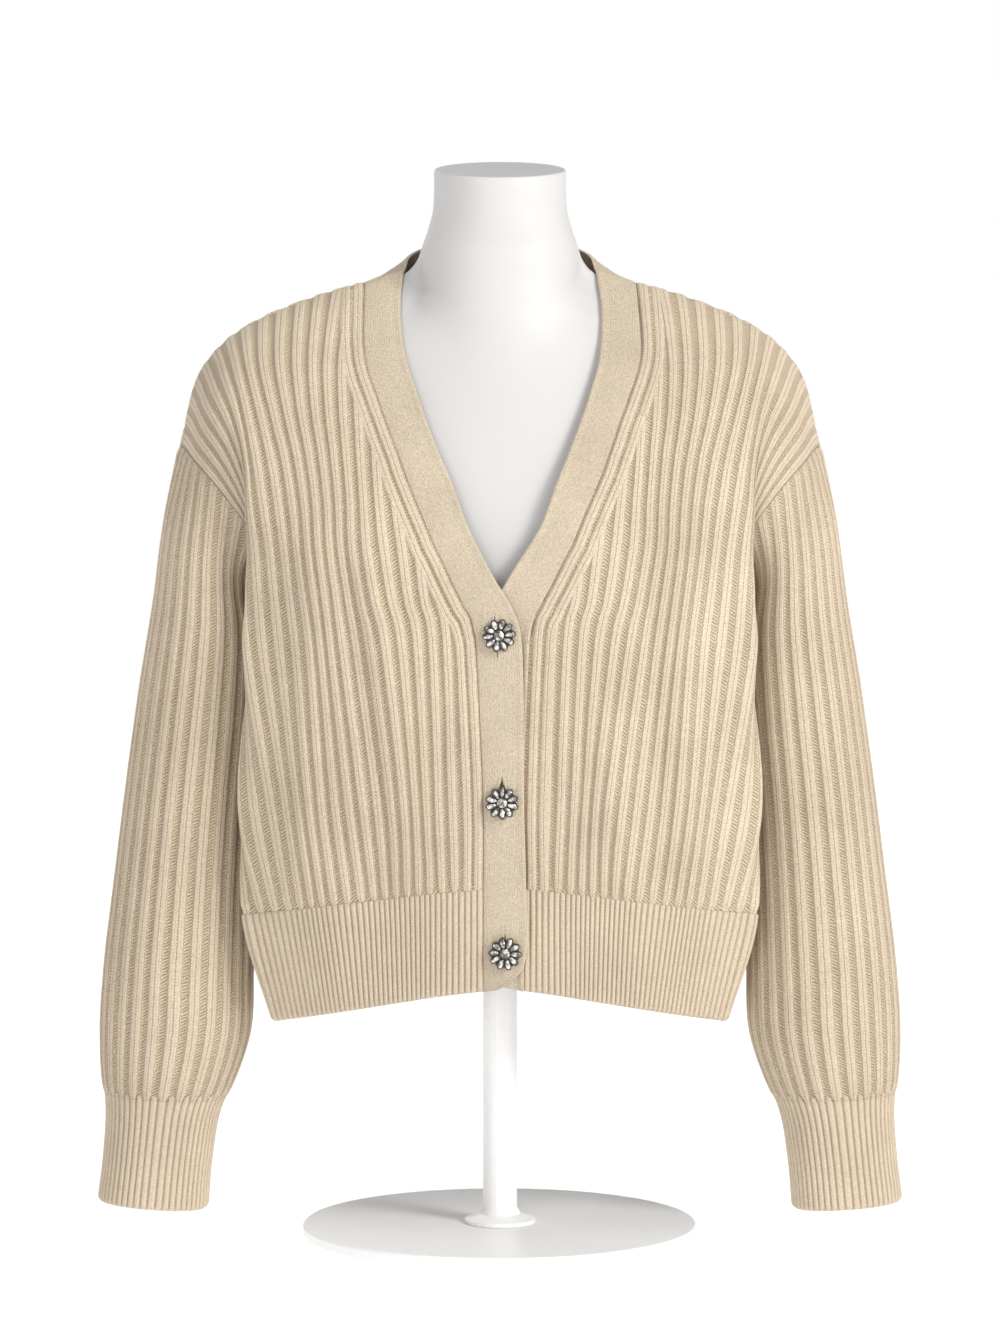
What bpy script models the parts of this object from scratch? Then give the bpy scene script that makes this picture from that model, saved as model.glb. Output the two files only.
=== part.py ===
"""Ribbed button cardigan on a limbless dress form.

The cardigan is sewn from knitted pieces: two fronts, a back, two dropped
sleeves, rib hems and cuffs, and a plain band that runs up both front edges and
round the neck.  Each piece is one closed wall whose ribs are raised on the
outer side over a plain inside.  The form is a smooth neck and torso on a slim
pole and a round base.

Axes: +Z up, the front of the cardigan faces -Y, origin at the centre of the
underside of the base.  Tables are in millimetres and MM turns them to metres.
"""
import math

import bmesh
import bpy
import numpy as np
from mathutils import Vector
from mathutils.bvhtree import BVHTree

# ---------------------------------------------------------------- main sizes
MM = 0.001
FRONT_RIBS = 20          # broad ribs of one front, from its band to its side seam
BACK_RIBS = 21           # broad ribs of half the back
SLEEVE_RIBS = 26         # broad ribs round a sleeve
CUFF_RIBS = 52           # fine ribs round a cuff
HEM_RIBS_FRONT = 45      # fine ribs of one front hem
HEM_RIBS_BACK = 92       # fine ribs of the back hem
RIB_RISE = 1.8           # how far a broad rib stands above its valley
FINE_RISE = 1.0          # the same for a hem or cuff rib
WALL = 2.4               # knit below the valleys
BAND_WALL = 2.2          # the plain band
SEAM = 0.2               # half the gap left between two sewn edges
OVERLAP = 4.2            # the under band lies this far behind the upper one
BUTTON_RADIUS = 11.6
BUTTON_PETALS = 10
BUTTON_Z = (449.0, 329.0, 219.5)
BUTTON_X = (-0.7, 1.4, 3.6)
BASE_RADIUS = 145.0
BASE_HEIGHT = 8.0
POLE_RADIUS = 12.5

# One row of a front for each level from the hem's edge (0) to the shoulder (10).
# x runs outwards from the middle, y is depth (front is negative), z is height.
# n: the band seam, c: the bend at the arm side, d: past the bend, a: the side
# seam and, from level 5 up, the armhole.  in, inr: rib number at the band seam
# of the right and left front; xnr: that seam's x on the left front.
FRONT_COLS = "t  xn    yn   zn    in   xnr   inr   xc     yc   zc   ic    xd   yd   zd   xa   ya  za"
FRONT_ROWS = (
    (0, 12.2, -90, 191, -0.62, 21.0, 0.4, 164, -30, 161, 18.6, 165, -15, 160, 159, -2, 160),
    (1, 12.2, -94, 265.5, -0.62, 21.0, 0.4, 186.5, -35, 240.5, 18.9, 185, -18, 239.5, 172, -2, 239),
    (2, 12.2, -103, 330.5, -0.62, 21.0, 0.4, 187, -50, 325, 17.3, 186, -33, 324, 169, -5, 323),
    (3, 16.4, -111, 431, -0.60, 21.0, 0.0, 182.5, -63, 427.5, 15.7, 180, -46, 427, 159, -5, 426),
    (4, 28.4, -110, 474, 0.1, 31.3, 0.4, 180, -66, 471, 15.2, 174, -44, 470, 156, -5, 467),
    (5, 47.5, -106, 513, 1.5, 52.0, 1.9, 177.5, -72, 507, 14.8, 170, -36, 496.5, 165, 0, 492),
    (6, 60.7, -98, 544.5, 2.3, 65.0, 2.7, 176, -76, 540, 14.2, 175, -60, 513, 173, -40, 507),
    (7, 72.6, -88, 576, 3.1, 77.5, 3.4, 176.5, -76, 572, 13.8, 181, -71, 549, 182, -57, 524),
    (8, 86.1, -72, 611, 4.2, 90.5, 4.6, 179.5, -66, 604, 13.4, 192, -65, 577, 200, -58, 548),
    (9, 97.6, -48, 650, 5.1, 101.5, 5.4, 185, -42, 639, 13.0, 208, -45, 607, 218, -40, 567),
    (10, 99.0, 0, 697.5, 6.2, 99.0, 6.2, 186, 0, 664.5, 12.55, 214, 0, 639, 233, 0, 579),
)
# Where ribs 3, 6, 9, 12 and 15 cross each level: their x.
RIB_MARKS = {
    0: {3: 46, 6: 68, 9: 90, 12: 113, 15: 135},
    1: {3: 46, 6: 70, 9: 94.5, 12: 123, 15: 147},
    2: {3: 48.5, 6: 73, 9: 103, 12: 132.5, 15: 158.5},
    3: {3: 53, 6: 86.5, 9: 116, 12: 139.5},
    4: {3: 59, 6: 93.5, 9: 120.5, 12: 144},
    5: {3: 64, 6: 100, 9: 125, 12: 148.5},
    6: {6: 102, 9: 127, 12: 152.5},
    7: {6: 104.5, 9: 131, 12: 158},
    8: {6: 107, 9: 137, 12: 166.5},
    9: {9: 140, 12: 175.5},
    10: {9: 137},
}
# The back, level by level: m: the middle, s: below the neck's side, b: the bend
# at the arm side, d: past it, a: the side seam or armhole (as on the front).
BACK_COLS = "t  ym   zm    xs   ys   zs    xb   yb   zb   xd   yd   zd   xa   ya  za"
BACK_ROWS = (
    (0, 92, 178, 92, 88, 175, 158, 46, 163, 163, 20, 161, 159, -2, 160),
    (1, 97, 256, 97, 93, 253.5, 180, 49, 242, 174, 22, 240, 172, -2, 239),
    (2, 104, 325, 99, 99, 325, 183, 61, 325, 172, 29, 324, 169, -5, 323),
    (3, 108, 428, 100, 102, 428, 180, 70, 428, 161, 31, 427, 159, -5, 426),
    (4, 108, 472, 100, 102, 472, 179, 75, 471, 158, 33, 469, 156, -5, 467),
    (5, 108, 511, 99, 102, 510, 177, 80, 507, 167, 38, 496.5, 165, 0, 492),
    (6, 108, 546, 98, 102, 544, 176, 84, 540, 174.5, 64, 512.5, 173, 44, 507),
    (7, 106, 582, 98, 100, 579, 176.5, 84, 572, 181, 76, 549, 182, 62, 524),
    (8, 102, 620, 98, 91, 614, 179.5, 73, 604, 192, 71, 577, 200, 62, 548),
    (9, 95, 657, 99, 64, 653, 185, 47, 639, 208, 49, 607, 218, 43, 567),
    (10, 81, 692, 99, 0, 697.5, 186, 0, 664.5, 214, 0, 639, 233, 0, 579),
)
NECK_RIB = 9             # rib of the back that meets the shoulder seam at the neck
# The back neck seam between its middle and the shoulder seam.
NECK_SEAM = ((3, 37, 76.5, 692), (6, 74, 55, 693.5), (8, 95, 20, 696.5))

# Free edge of the band beside each level of the seam (x to the right front's
# side; negative passes the middle), with one more level in the V's curve.
BAND_EDGE = (
    (0, -14, -92, 193), (0.3, -18.6, -94, 214), (1, -18.6, -98, 265),
    (2, -17.0, -105, 331), (3, -15.0, -114, 434), (3.5, -10.0, -113.5, 463),
    (4, 2.0, -111, 487.5), (5, 21.4, -104, 524), (6, 34.0, -96, 556),
    (7, 47.5, -84, 587), (8, 59.5, -67, 620), (9, 69.5, -43, 654),
    (10, 70, 3, 706),
)
UNDER_EDGE = (
    (0, -10, -89, 196), (0.3, -10.5, -90, 214), (1, -10.5, -93.5, 265),
    (2, -10.5, -102.5, 331), (3, -9.0, -111, 434), (3.5, -5.0, -112, 466),
    (4, 2.5, -111, 488), (5, 24.0, -104, 524), (6, 38.5, -96, 556),
    (7, 52.5, -84, 587), (8, 64.5, -67, 620), (9, 72.5, -43, 654),
    (10, 70, 3, 706),
)
# Free edge of the band behind the neck, from the shoulder seam to the middle.
NECK_EDGE = ((9, 70, 3, 706), (7.6, 67, 30, 716), (5.5, 52, 53, 724), (3, 28, 67, 727), (0, 0, 70, 727))

# Sleeve levels: o the outer side, u the under side, cy and b the middle and
# half of the depth.  Level 0 is the armhole itself; cuffs start at level 9.
SLEEVE_COLS = "xo   zo    xu    zu   cy  b"
SLEEVE_ROWS = (
    (243, 526, 178, 479, 5, 59),
    (251.5, 466, 173, 437, 9, 57),
    (261.5, 407, 173.5, 389, 12, 54),
    (272, 334, 178.5, 322, 12, 51),
    (281, 264, 182, 256, 12, 48),
    (289, 201, 183, 195, 12, 46),
    (292.5, 149, 186, 144, 12, 44),
    (291.5, 116, 197, 112, 12, 39),
    (289.5, 98.5, 205, 95, 12, 34),
)
CUFF_ROWS = (
    (289.5, 98.5, 205, 95, 12, 34),
    (291, 60, 213, 56, 12, 31),
    (295.5, 23, 216.5, 17, 12, 31),
)

# Levels of the form.  The torso: half width, half depth and roundness (2 is an
# ellipse, 1 a lens); the middle of the depth; the neck: half width, half depth.
FORM_COLS = "z   a    b    n    cy   na  nb"
FORM_ROWS = (
    (214, 148, 80, 2.3, 2, 40, 40), (300, 150, 90, 2.3, 2, 40, 40), (400, 150, 95, 2.3, 1, 40, 40),
    (470, 153, 94, 2.3, 1, 44, 44), (530, 157, 92, 2.25, 3, 50, 50), (575, 162, 85, 2.15, 4, 56, 56),
    (610, 167, 75, 1.85, 5, 58, 58), (640, 168, 62, 1.55, 5, 60, 56), (657, 161, 54, 1.38, 5, 60, 54),
    (670, 147, 47, 1.25, 5, 60, 53), (680, 130, 42, 1.15, 5, 59.5, 52), (687, 113, 37, 1.1, 5, 59, 52),
    (693, 96, 31, 1.1, 5, 58.5, 51.5), (698, 83, 26, 1.1, 6, 58.5, 51.5), (702, 73, 22, 1.1, 6, 58, 51.5),
    (706, 65, 18, 1.1, 6, 58, 51.5), (713, 55, 15, 1.1, 6, 57.5, 51.5), (724, 40, 12, 1.1, 6, 56.2, 51),
    (736, 30, 10, 1.1, 4, 52.3, 51), (750, 30, 10, 1.1, 2, 48.6, 50.5), (764, 30, 10, 1.1, 0, 47.8, 50),
)
NECK_TOP = 779.4         # height of the middle of the neck's flat top
NECK_TILT = math.radians(7.0)
NECK_ROUND = 1.6
FORM_CLEAR = 1.5         # the form keeps at least this far inside the knit

# ---------------------------------------------------------------- smooth curves
def smooth(knots, values, at):
    """Curve through values (n, 3) at knots, read at a number; straight past its ends."""
    k = np.asarray(knots, float)
    v = np.asarray(values, float)
    step = np.diff(k)[:, None]
    slope = np.diff(v, axis=0) / step
    tangent = np.empty_like(v)
    tangent[0], tangent[-1] = slope[0], slope[-1]
    tangent[1:-1] = (slope[:-1] * step[1:] + slope[1:] * step[:-1]) / (step[:-1] + step[1:])
    if at <= k[0]:
        return v[0] + tangent[0] * (at - k[0])
    if at >= k[-1]:
        return v[-1] + tangent[-1] * (at - k[-1])
    n = int(np.searchsorted(k, at, side="right")) - 1
    h = k[n + 1] - k[n]
    u = (at - k[n]) / h
    a, b = 2 * u**3 - 3 * u**2 + 1, u**3 - 2 * u**2 + u
    c, d = -2 * u**3 + 3 * u**2, u**3 - u**2
    return a * v[n] + b * h * tangent[n] + c * v[n + 1] + d * h * tangent[n + 1]


def spaced(points, first, last):
    """Rib numbers for points between two known ones, by their distance apart."""
    points = np.asarray(points, float)
    run = np.concatenate(([0.0], np.cumsum(np.linalg.norm(np.diff(points, axis=0), axis=1))))
    return list(first + (last - first) * run / run[-1])


def front_row(row, left):
    """Knots of one level of a front: rib numbers and their points."""
    t, xn, yn, zn, i_n, xnr, i_nr, xc, yc, zc, ic, xd, yd, zd, xa, ya, za = row
    xs, first = (xnr, i_nr) if left else (xn, i_n)
    marks = [(first, xs)] + [(k, x) for k, x in sorted(RIB_MARKS[t].items()) if first + 0.8 < k < ic - 0.5]
    ribs, points = [], []
    for k, x in marks:
        u = (x - xn) / (xc - xn)
        u = max(u, 0.0)
        ribs.append(k)
        points.append((x, yn + (yc - yn) * u**2.6, zn + (zc - zn) * u**1.3))
    # a soft shoulder to the bend: one more point a little before it
    u = 0.93 - 0.02 * (t > 5)
    if ic - ribs[-1] > 1.3:
        ribs.append(ic - 0.75)
        x = points[-1][0] + (xc - points[-1][0]) * (1 - 0.75 / (ic - ribs[-2]))
        u = (x - xn) / (xc - xn)
        points.append((x, yn + (yc - yn) * u**2.6, zn + (zc - zn) * u**1.3))
    tail = [(xc, yc, zc), (xd, yd, zd), (xa, ya, za)]
    ribs += spaced(tail, ic, FRONT_RIBS)
    return ribs, points + tail


def back_row(row):
    t, ym, zm, xs, ys, zs, xb, yb, zb, xd, yd, zd, xa, ya, za = row
    tail = [(xs, ys, zs), (xb, yb, zb), (xd, yd, zd), (xa, ya, za)]
    if t == 10:
        tail = [(xs, ys, zs), (186, 0, 664.5), (xd, yd, zd), (xa, ya, za)]
    ribs = [0] + spaced(tail, NECK_RIB, BACK_RIBS)
    points = [(0, ym, zm)] + tail
    if t == 10:
        for n, (k, x, y, z) in enumerate(NECK_SEAM):
            ribs.insert(1 + n, k)
            points.insert(1 + n, (x, y, z))
        ribs.insert(5, 10)
        points.insert(5, (107, 0, 695.0))
    else:
        ribs = [-NECK_RIB] + ribs
        points = [(-xs, ys, zs)] + points
    return ribs, points


def underarm(i, t, back):
    """Ribs lie flatter where the body and the sleeve hang close together."""
    last = BACK_RIBS if back else FRONT_RIBS
    beside = min(max((i - last + 4.5) / 2.0, 0.0), 1.0) * min(max((t - 3.2) / 0.8, 0.0), 1.0)
    return 1.0 - 0.75 * beside * min(max((7.5 - t) / 1.5, 0.0), 1.0)


class Sheet:
    """A panel's surface: the point of rib number i at level t."""

    def __init__(self, rows, shoulder_from):
        self.rows = rows
        self.shoulder_from = shoulder_from

    def point(self, i, t):
        n = min(max(int(math.floor(t)), 0), 9)
        levels = []
        for r in (n - 1, n, n + 1, n + 2):
            if r < 0:
                a, b = self.at(i, 0), self.at(i, 1)
                levels.append(2 * a - b)
            elif r > 10:
                a, b = self.at(i, 10), self.at(i, 9)
                over = min(max((i - self.shoulder_from) / 1.5, 0.0), 1.0)
                ghost = 2 * a - b
                ghost[2] = b[2] + (1 - over) * (ghost[2] - b[2])
                levels.append(ghost)
            else:
                levels.append(self.at(i, r))
        u = t - n
        p0, p1, p2, p3 = levels
        return p1 + 0.5 * u * (p2 - p0 + u * (2 * p0 - 5 * p1 + 4 * p2 - p3
                                              + u * (3 * (p1 - p2) + p3 - p0)))

    def at(self, i, r):
        ribs, points = self.rows[r]
        return smooth(ribs, points, i)

    def normal(self, i, t, out):
        """Outward direction; out is +1 or -1 for the order of the axes."""
        di, dt = 0.05, 0.03
        across = self.point(i + di, t) - self.point(i - di, t)
        up = self.point(i, min(t + dt, 10)) - self.point(i, max(t - dt, 0))
        m = np.cross(across, up) * out
        return m / np.linalg.norm(m)


RIGHT = Sheet([front_row(r, False) for r in FRONT_ROWS], 5.0)
LEFT = Sheet([front_row(r, True) for r in FRONT_ROWS], 5.0)
BACK = Sheet([back_row(r) for r in BACK_ROWS], 8.8)


def push_back(p):
    """The left front lies behind the right one where they overlap at the middle."""
    near = min(max(1 - (p[0] - 15.0) / 60.0, 0.0), 1.0)
    near = near * near * (3 - 2 * near)
    fade = min(max((600.0 - p[2]) / 90.0, 0.0), 1.0)
    return np.array((p[0], p[1] + OVERLAP * near * fade, p[2]))


# ---------------------------------------------------------------- mesh making
def strip(mesh, low, low_at, high, high_at):
    """Triangles between two rows of vertices that run side by side."""
    a, b = 0, 0
    while a < len(low) - 1 or b < len(high) - 1:
        step_low = b == len(high) - 1 or (a < len(low) - 1 and low_at[a + 1] <= high_at[b + 1] + 1e-9)
        third = low[a + 1] if step_low else high[b + 1]
        if len({low[a], high[b], third}) == 3:
            mesh.faces.new((low[a], third, high[b]))
        if step_low:
            a += 1
        else:
            b += 1


def finish(mesh, name, material, smooth_angle=50):
    bmesh.ops.recalc_face_normals(mesh, faces=mesh.faces)
    data = bpy.data.meshes.new(name)
    mesh.to_mesh(data)
    mesh.free()
    data.materials.append(material)
    for face in data.polygons:
        face.use_smooth = True
    data.set_sharp_from_angle(angle=math.radians(smooth_angle))
    thing = bpy.data.objects.new(name, data)
    GARMENT.objects.link(thing)
    return thing


def wall(name, material, outer, outer_at, inner, inner_at, closed=False):
    """A closed wall from two grids of points, outer[row][column] and inner[row][column].

    Rows correspond; columns are matched by their positions outer_at and inner_at.
    A closed wall is a tube: its last column joins its first.
    """
    mesh = bmesh.new()
    outs = [[mesh.verts.new(Vector(p) * MM) for p in row] for row in outer]
    ins = [[mesh.verts.new(Vector(p) * MM) for p in row] for row in inner]
    if closed:
        outs = [row + row[:1] for row in outs]
        ins = [row + row[:1] for row in ins]
        outer_at = [list(a) + [a[0] + 1.0] for a in outer_at]
        inner_at = [list(a) + [a[0] + 1.0] for a in inner_at]
    for grid, at in ((outs, outer_at), (ins, inner_at)):
        for r in range(len(grid) - 1):
            strip(mesh, grid[r], at[r], grid[r + 1], at[r + 1])
    strip(mesh, outs[0], outer_at[0], ins[0], inner_at[0])
    strip(mesh, outs[-1], outer_at[-1], ins[-1], inner_at[-1])
    if not closed:
        for c in (0, -1):
            rows = list(range(len(outs)))
            strip(mesh, [outs[r][c] for r in rows], rows, [ins[r][c] for r in rows], rows)
    return finish(mesh, name, material)


def mirrored(grid, side):
    return [[(p[0] * side, p[1], p[2]) for p in row] for row in grid]


def rise(i, height):
    """Height of the outer side over the valley: ribs peak at half numbers."""
    return height * abs(math.sin(math.pi * i)) if abs(i * 2 - round(i * 2)) > 1e-6 else height * (round(i * 2) % 2)


# ---------------------------------------------------------------- armhole and seams
FRONT_ARM_LEVELS = (5, 5.6, 6.2, 6.9, 7.6, 8.3, 9, 9.5, 10)
BODY_LEVELS = (1, 2, 3, 4)
SIDE_OUT = np.array((1.0, 0.0, 0.0))


def sleeve_ring(row, at):
    """Point of a sleeve level at turn `at`: 0 outer, 0.25 back, 0.5 under, 0.75 front."""
    xo, zo, xu, zu, cy, b = row
    angle = 2 * math.pi * at
    c, s = math.cos(angle), math.sin(angle)
    c = math.copysign(abs(c) ** 0.92, c)
    s = math.copysign(abs(s) ** 0.92, s)
    mid, half = np.array(((xo + xu) / 2, cy, (zo + zu) / 2)), np.array(((xo - xu) / 2, 0, (zo - zu) / 2))
    return mid + half * c + np.array((0, b, 0)) * s


def loop_points():
    """The armhole: points and turn positions, from the shoulder down the back and up the front."""
    back = [(BACK.point(BACK_RIBS, t), t) for t in reversed(FRONT_ARM_LEVELS)]
    front = [(RIGHT.point(FRONT_RIBS, t), t) for t in FRONT_ARM_LEVELS]
    pts = [p for p, _ in back] + [p for p, _ in front[1:-1]]
    half = len(back) - 1
    run = [0.0]
    for a, b in zip(pts, pts[1:] + pts[:1]):
        run.append(run[-1] + float(np.linalg.norm(b - a)))
    at = []
    for n in range(len(pts)):
        if n <= half:
            at.append(0.5 * run[n] / run[half])
        else:
            at.append(0.5 + 0.5 * (run[n] - run[half]) / (run[-1] - run[half]))
    return pts, at


LOOP, LOOP_AT = loop_points()


def seam_direction(k):
    """The way through the cloth at point k of the armhole, shared by sleeve and body."""
    p = LOOP[k]
    tangent = LOOP[(k + 1) % len(LOOP)] - LOOP[k - 1]
    half = len(FRONT_ARM_LEVELS) - 1
    tangent /= np.linalg.norm(tangent)
    if k <= half:
        out = BACK.normal(BACK_RIBS - 0.4, tuple(reversed(FRONT_ARM_LEVELS))[k], -1)
    else:
        out = RIGHT.normal(FRONT_RIBS - 0.4, FRONT_ARM_LEVELS[k - half], 1)
    # under the arm the body turns to face the sleeve, so its outer side is +x
    inside = np.cross(out if out[0] > 0 else -out, tangent)
    down = sleeve_ring(SLEEVE_ROWS[0], LOOP_AT[k]) - p
    down -= (down @ tangent) * tangent
    inside /= np.linalg.norm(inside)
    down /= np.linalg.norm(down)
    across = down - inside
    m = np.cross(tangent, across)
    m /= np.linalg.norm(m)
    return -m, across / np.linalg.norm(across)


SEAM_OUT = [seam_direction(k) for k in range(len(LOOP))]


def arm_index(level, back):
    """Place in LOOP of an armhole level of the back or of a front."""
    n = FRONT_ARM_LEVELS.index(level)
    half = len(FRONT_ARM_LEVELS) - 1
    return half - n if back else (half + n) % len(LOOP)


# ---------------------------------------------------------------- panels
def end_level(sheet_first, i):
    """Level at which rib i runs into the band's seam in the V."""
    ribs = [f for f in sheet_first]
    levels = [r[0] for r in FRONT_ROWS]
    start = 3
    if i >= ribs[-1]:
        return 10.0
    return float(np.interp(i, ribs[start:], levels[start:]))


def front_levels(i, firsts):
    """Levels of a front's rows along rib i, all rows reaching the V or the shoulder."""
    end = end_level(firsts, i)
    low = [1, 2, 3]
    high = [4, 5, 5.6, 6.2, 6.9, 7.6, 8.3, 9, 9.5, 10]
    return low + [3 + (h - 3) * (end - 3) / 7.0 for h in high]


def band_side(i, t, back, left):
    """The band's free edge beside a point of a neck seam; None at a shoulder seam."""
    if i > (NECK_RIB if back else NECK_CORNER) or (i == NECK_CORNER and not back):
        return None
    if back:
        return smooth([r[0] for r in NECK_EDGE[::-1]], [r[1:] for r in NECK_EDGE[::-1]], i)
    table = UNDER_EDGE if left else BAND_EDGE
    e = smooth([r[0] for r in table], [r[1:] for r in table], t)
    return push_back(e) if left else e


def panel(name, material, sheet, side, columns, levels_of, out, left=False, back=False):
    """A broad-rib panel with the given rib columns."""
    def surface(i, t):
        p = sheet.point(i, t)
        return push_back(p) if left else p

    def grid(cols, lift):
        rows = []
        count = len(levels_of(columns[-1]))
        for r in range(count):
            row = []
            for i in (columns if r == count - 1 else cols):
                t = levels_of(i)[r]
                p = surface(i, t)
                m = sheet.normal(i, t, out)
                if r == 0:
                    q = surface(i, t + 0.2)
                    p = p + (q - p) / np.linalg.norm(q - p) * SEAM
                if r == count - 1 and not (i == cols[-1] and t == 10):
                    e = band_side(i, t, back, left)
                    q = surface(i, t - 0.2) if e is None else 2 * p - e
                    p = p + (q - p) / np.linalg.norm(q - p) * SEAM
                if t > 9.999 and i >= (NECK_RIB if back else NECK_CORNER):
                    if back and i == NECK_RIB:
                        m = RIGHT.normal(NECK_CORNER, 10, 1)
                    m = np.array((m[0], 0, m[2])) / math.hypot(m[0], m[2])
                if i == cols[-1] and t in FRONT_ARM_LEVELS:
                    m, across = SEAM_OUT[arm_index(t, back)]
                    p = p - across * SEAM
                    if t in (5, 10):
                        p = p + np.array((0, SEAM if back else -SEAM, 0))
                elif i == cols[-1] or (i == cols[0] and not back):
                    q = surface(i + (-0.3 if i == cols[-1] else 0.3), t)
                    p = p + (q - p) / np.linalg.norm(q - p) * SEAM
                    if i == cols[-1]:
                        m = SIDE_OUT
                p = p + m * (rise(i, RIB_RISE) * underarm(i, t, back) if lift else -WALL)
                if t > 9.3 and i >= (NECK_RIB if back else NECK_CORNER):
                    p[1] = max(p[1], SEAM) if back else min(p[1], -SEAM)
                row.append(p)
            rows.append(row)
        return rows

    bend = 11 if back else 13
    inner_cols = [columns[0]] + [c for c in columns[1:-1] if c == NECK_CORNER or c == round(c) and (
        c >= bend or c in (3, 6, 9) or (c % 2 == 0 and not back))] + [columns[-1]]
    outer = grid(columns, True)
    inner = grid(inner_cols, False)
    count = len(outer)
    return outer, [columns] * count, inner, [inner_cols] * (count - 1) + [columns]


def material(name, colour, rough, metallic=0.0):
    made = bpy.data.materials.new(name)
    made.use_nodes = True
    shader = made.node_tree.nodes["Principled BSDF"]
    shader.inputs["Base Color"].default_value = (*colour, 1.0)
    shader.inputs["Roughness"].default_value = rough
    shader.inputs["Metallic"].default_value = metallic
    made.diffuse_color = (*colour, 1.0)
    return made


for old in list(bpy.data.objects):
    bpy.data.objects.remove(old, do_unlink=True)
GARMENT = bpy.data.collections.new("button_cardigan")
bpy.context.scene.collection.children.link(GARMENT)

KNIT = material("knit_body", (0.62, 0.49, 0.35), 0.9)
KNIT_SLEEVE = material("knit_sleeve", (0.64, 0.51, 0.38), 0.9)
KNIT_RIB = material("knit_rib", (0.58, 0.45, 0.33), 0.9)
KNIT_BAND = material("knit_band", (0.72, 0.61, 0.46), 0.9)
METAL = material("button_metal", (0.30, 0.29, 0.28), 0.35, 1.0)
FORM = material("form_white", (0.84, 0.83, 0.82), 0.55)
STAND = material("stand_white", (0.82, 0.81, 0.80), 0.4)

RIGHT_FIRST = [r[4] for r in FRONT_ROWS]
LEFT_FIRST = [r[6] for r in FRONT_ROWS]
LEFT_FIRST[:4] = [0.0] * 4


NECK_CORNER = 6.2        # rib of a front that ends where the band meets the shoulder


def rib_columns(first, last):
    """The seam, every half rib up to the last one, and the corner at the neck."""
    inside = [k / 2 for k in range(math.ceil(first * 2 + 0.3), last * 2 + 1)]
    return sorted([first] + inside + [NECK_CORNER])


def make_front(name, left):
    sheet, firsts = (LEFT, LEFT_FIRST) if left else (RIGHT, RIGHT_FIRST)
    side = 1 if left else -1
    cols = rib_columns(firsts[0], FRONT_RIBS)
    outer, oa, inner, ia = panel(name, KNIT, sheet, side, cols,
                                 lambda i: front_levels(i, firsts), 1, left=left)
    return wall(name, KNIT, mirrored(outer, side), oa, mirrored(inner, side), ia)


def make_back():
    levels = list(BODY_LEVELS) + list(FRONT_ARM_LEVELS)
    half = [k / 2 for k in range(0, BACK_RIBS * 2 + 1)]
    outer, oa, inner, ia = panel("back", KNIT, BACK, 0, half, lambda i: levels, -1, back=True)

    def both(grid, at):
        rows = [[(-p[0], p[1], p[2]) for p in reversed(row[1:])] + list(row) for row in grid]
        places = [[-a for a in reversed(cols[1:])] + list(cols) for cols in at]
        return rows, places
    o, oa = both(outer, oa)
    n, na = both(inner, ia)
    return wall("back", KNIT, o, oa, n, na)


def make_hem(name, left=False, back=False):
    """A fine-rib hem from the broad ribs' lower edge to the garment's edge."""
    sheet = BACK if back else (LEFT if left else RIGHT)
    out = -1 if back else 1
    first = -BACK_RIBS if back else (LEFT_FIRST[0] if left else RIGHT_FIRST[0])
    last = BACK_RIBS if back else FRONT_RIBS
    count = HEM_RIBS_BACK if back else HEM_RIBS_FRONT
    side = 1 if left or back else -1

    def place(i, t):
        p = sheet.point(abs(i) if back else i, t)
        if back:
            p[0] = math.copysign(p[0], i) if abs(i) > 1e-9 else 0.0
        return push_back(p) if left else p

    def rim(i, t):
        if abs(i) == last:
            return SIDE_OUT * (math.copysign(1, i))
        m = sheet.normal(abs(i) if back else i, t, out)
        return np.array((m[0] * math.copysign(1, i), m[1], m[2])) if back else m

    def grid(step, fine):
        rows = []
        for t in (0, 1):
            row = []
            for k in range(0, count * 2 + 1, step):
                i = first + (last - first) * k / (count * 2)
                p, m = place(i, t), rim(i, t)
                if t == 1:
                    q = place(i, 0.8)
                    p = p + (q - p) / np.linalg.norm(q - p) * SEAM
                if abs(i) == last or k == 0:
                    q = place(i + (0.3 if k == 0 else -0.3), t)
                    p = p + (q - p) / np.linalg.norm(q - p) * SEAM
                lift = (FINE_RISE * (k % 2) if fine else -WALL)
                row.append(p + m * lift)
            rows.append(row)
        return rows
    inner_step = 4 if back else 6
    outer, inner = grid(1, True), grid(inner_step, False)
    return wall(name, KNIT_RIB, mirrored(outer, side), [list(range(count * 2 + 1))] * 2,
                mirrored(inner, side), [list(range(0, count * 2 + 1, inner_step))] * 2)


# ---------------------------------------------------------------- sleeves
def ring_out(row, at):
    """Outward direction of a sleeve level, in its own plane."""
    a, b = sleeve_ring(row, at - 0.004), sleeve_ring(row, at + 0.004)
    xo, zo, xu, zu, cy, half = row
    down = np.cross(np.array((xo - xu, 0.0, zo - zu)), np.array((0.0, 1.0, 0.0)))
    m = np.cross(b - a, down)
    m /= np.linalg.norm(m)
    return m if m @ (sleeve_ring(row, at) - sleeve_ring(row, at + 0.5)) > 0 else -m


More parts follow.
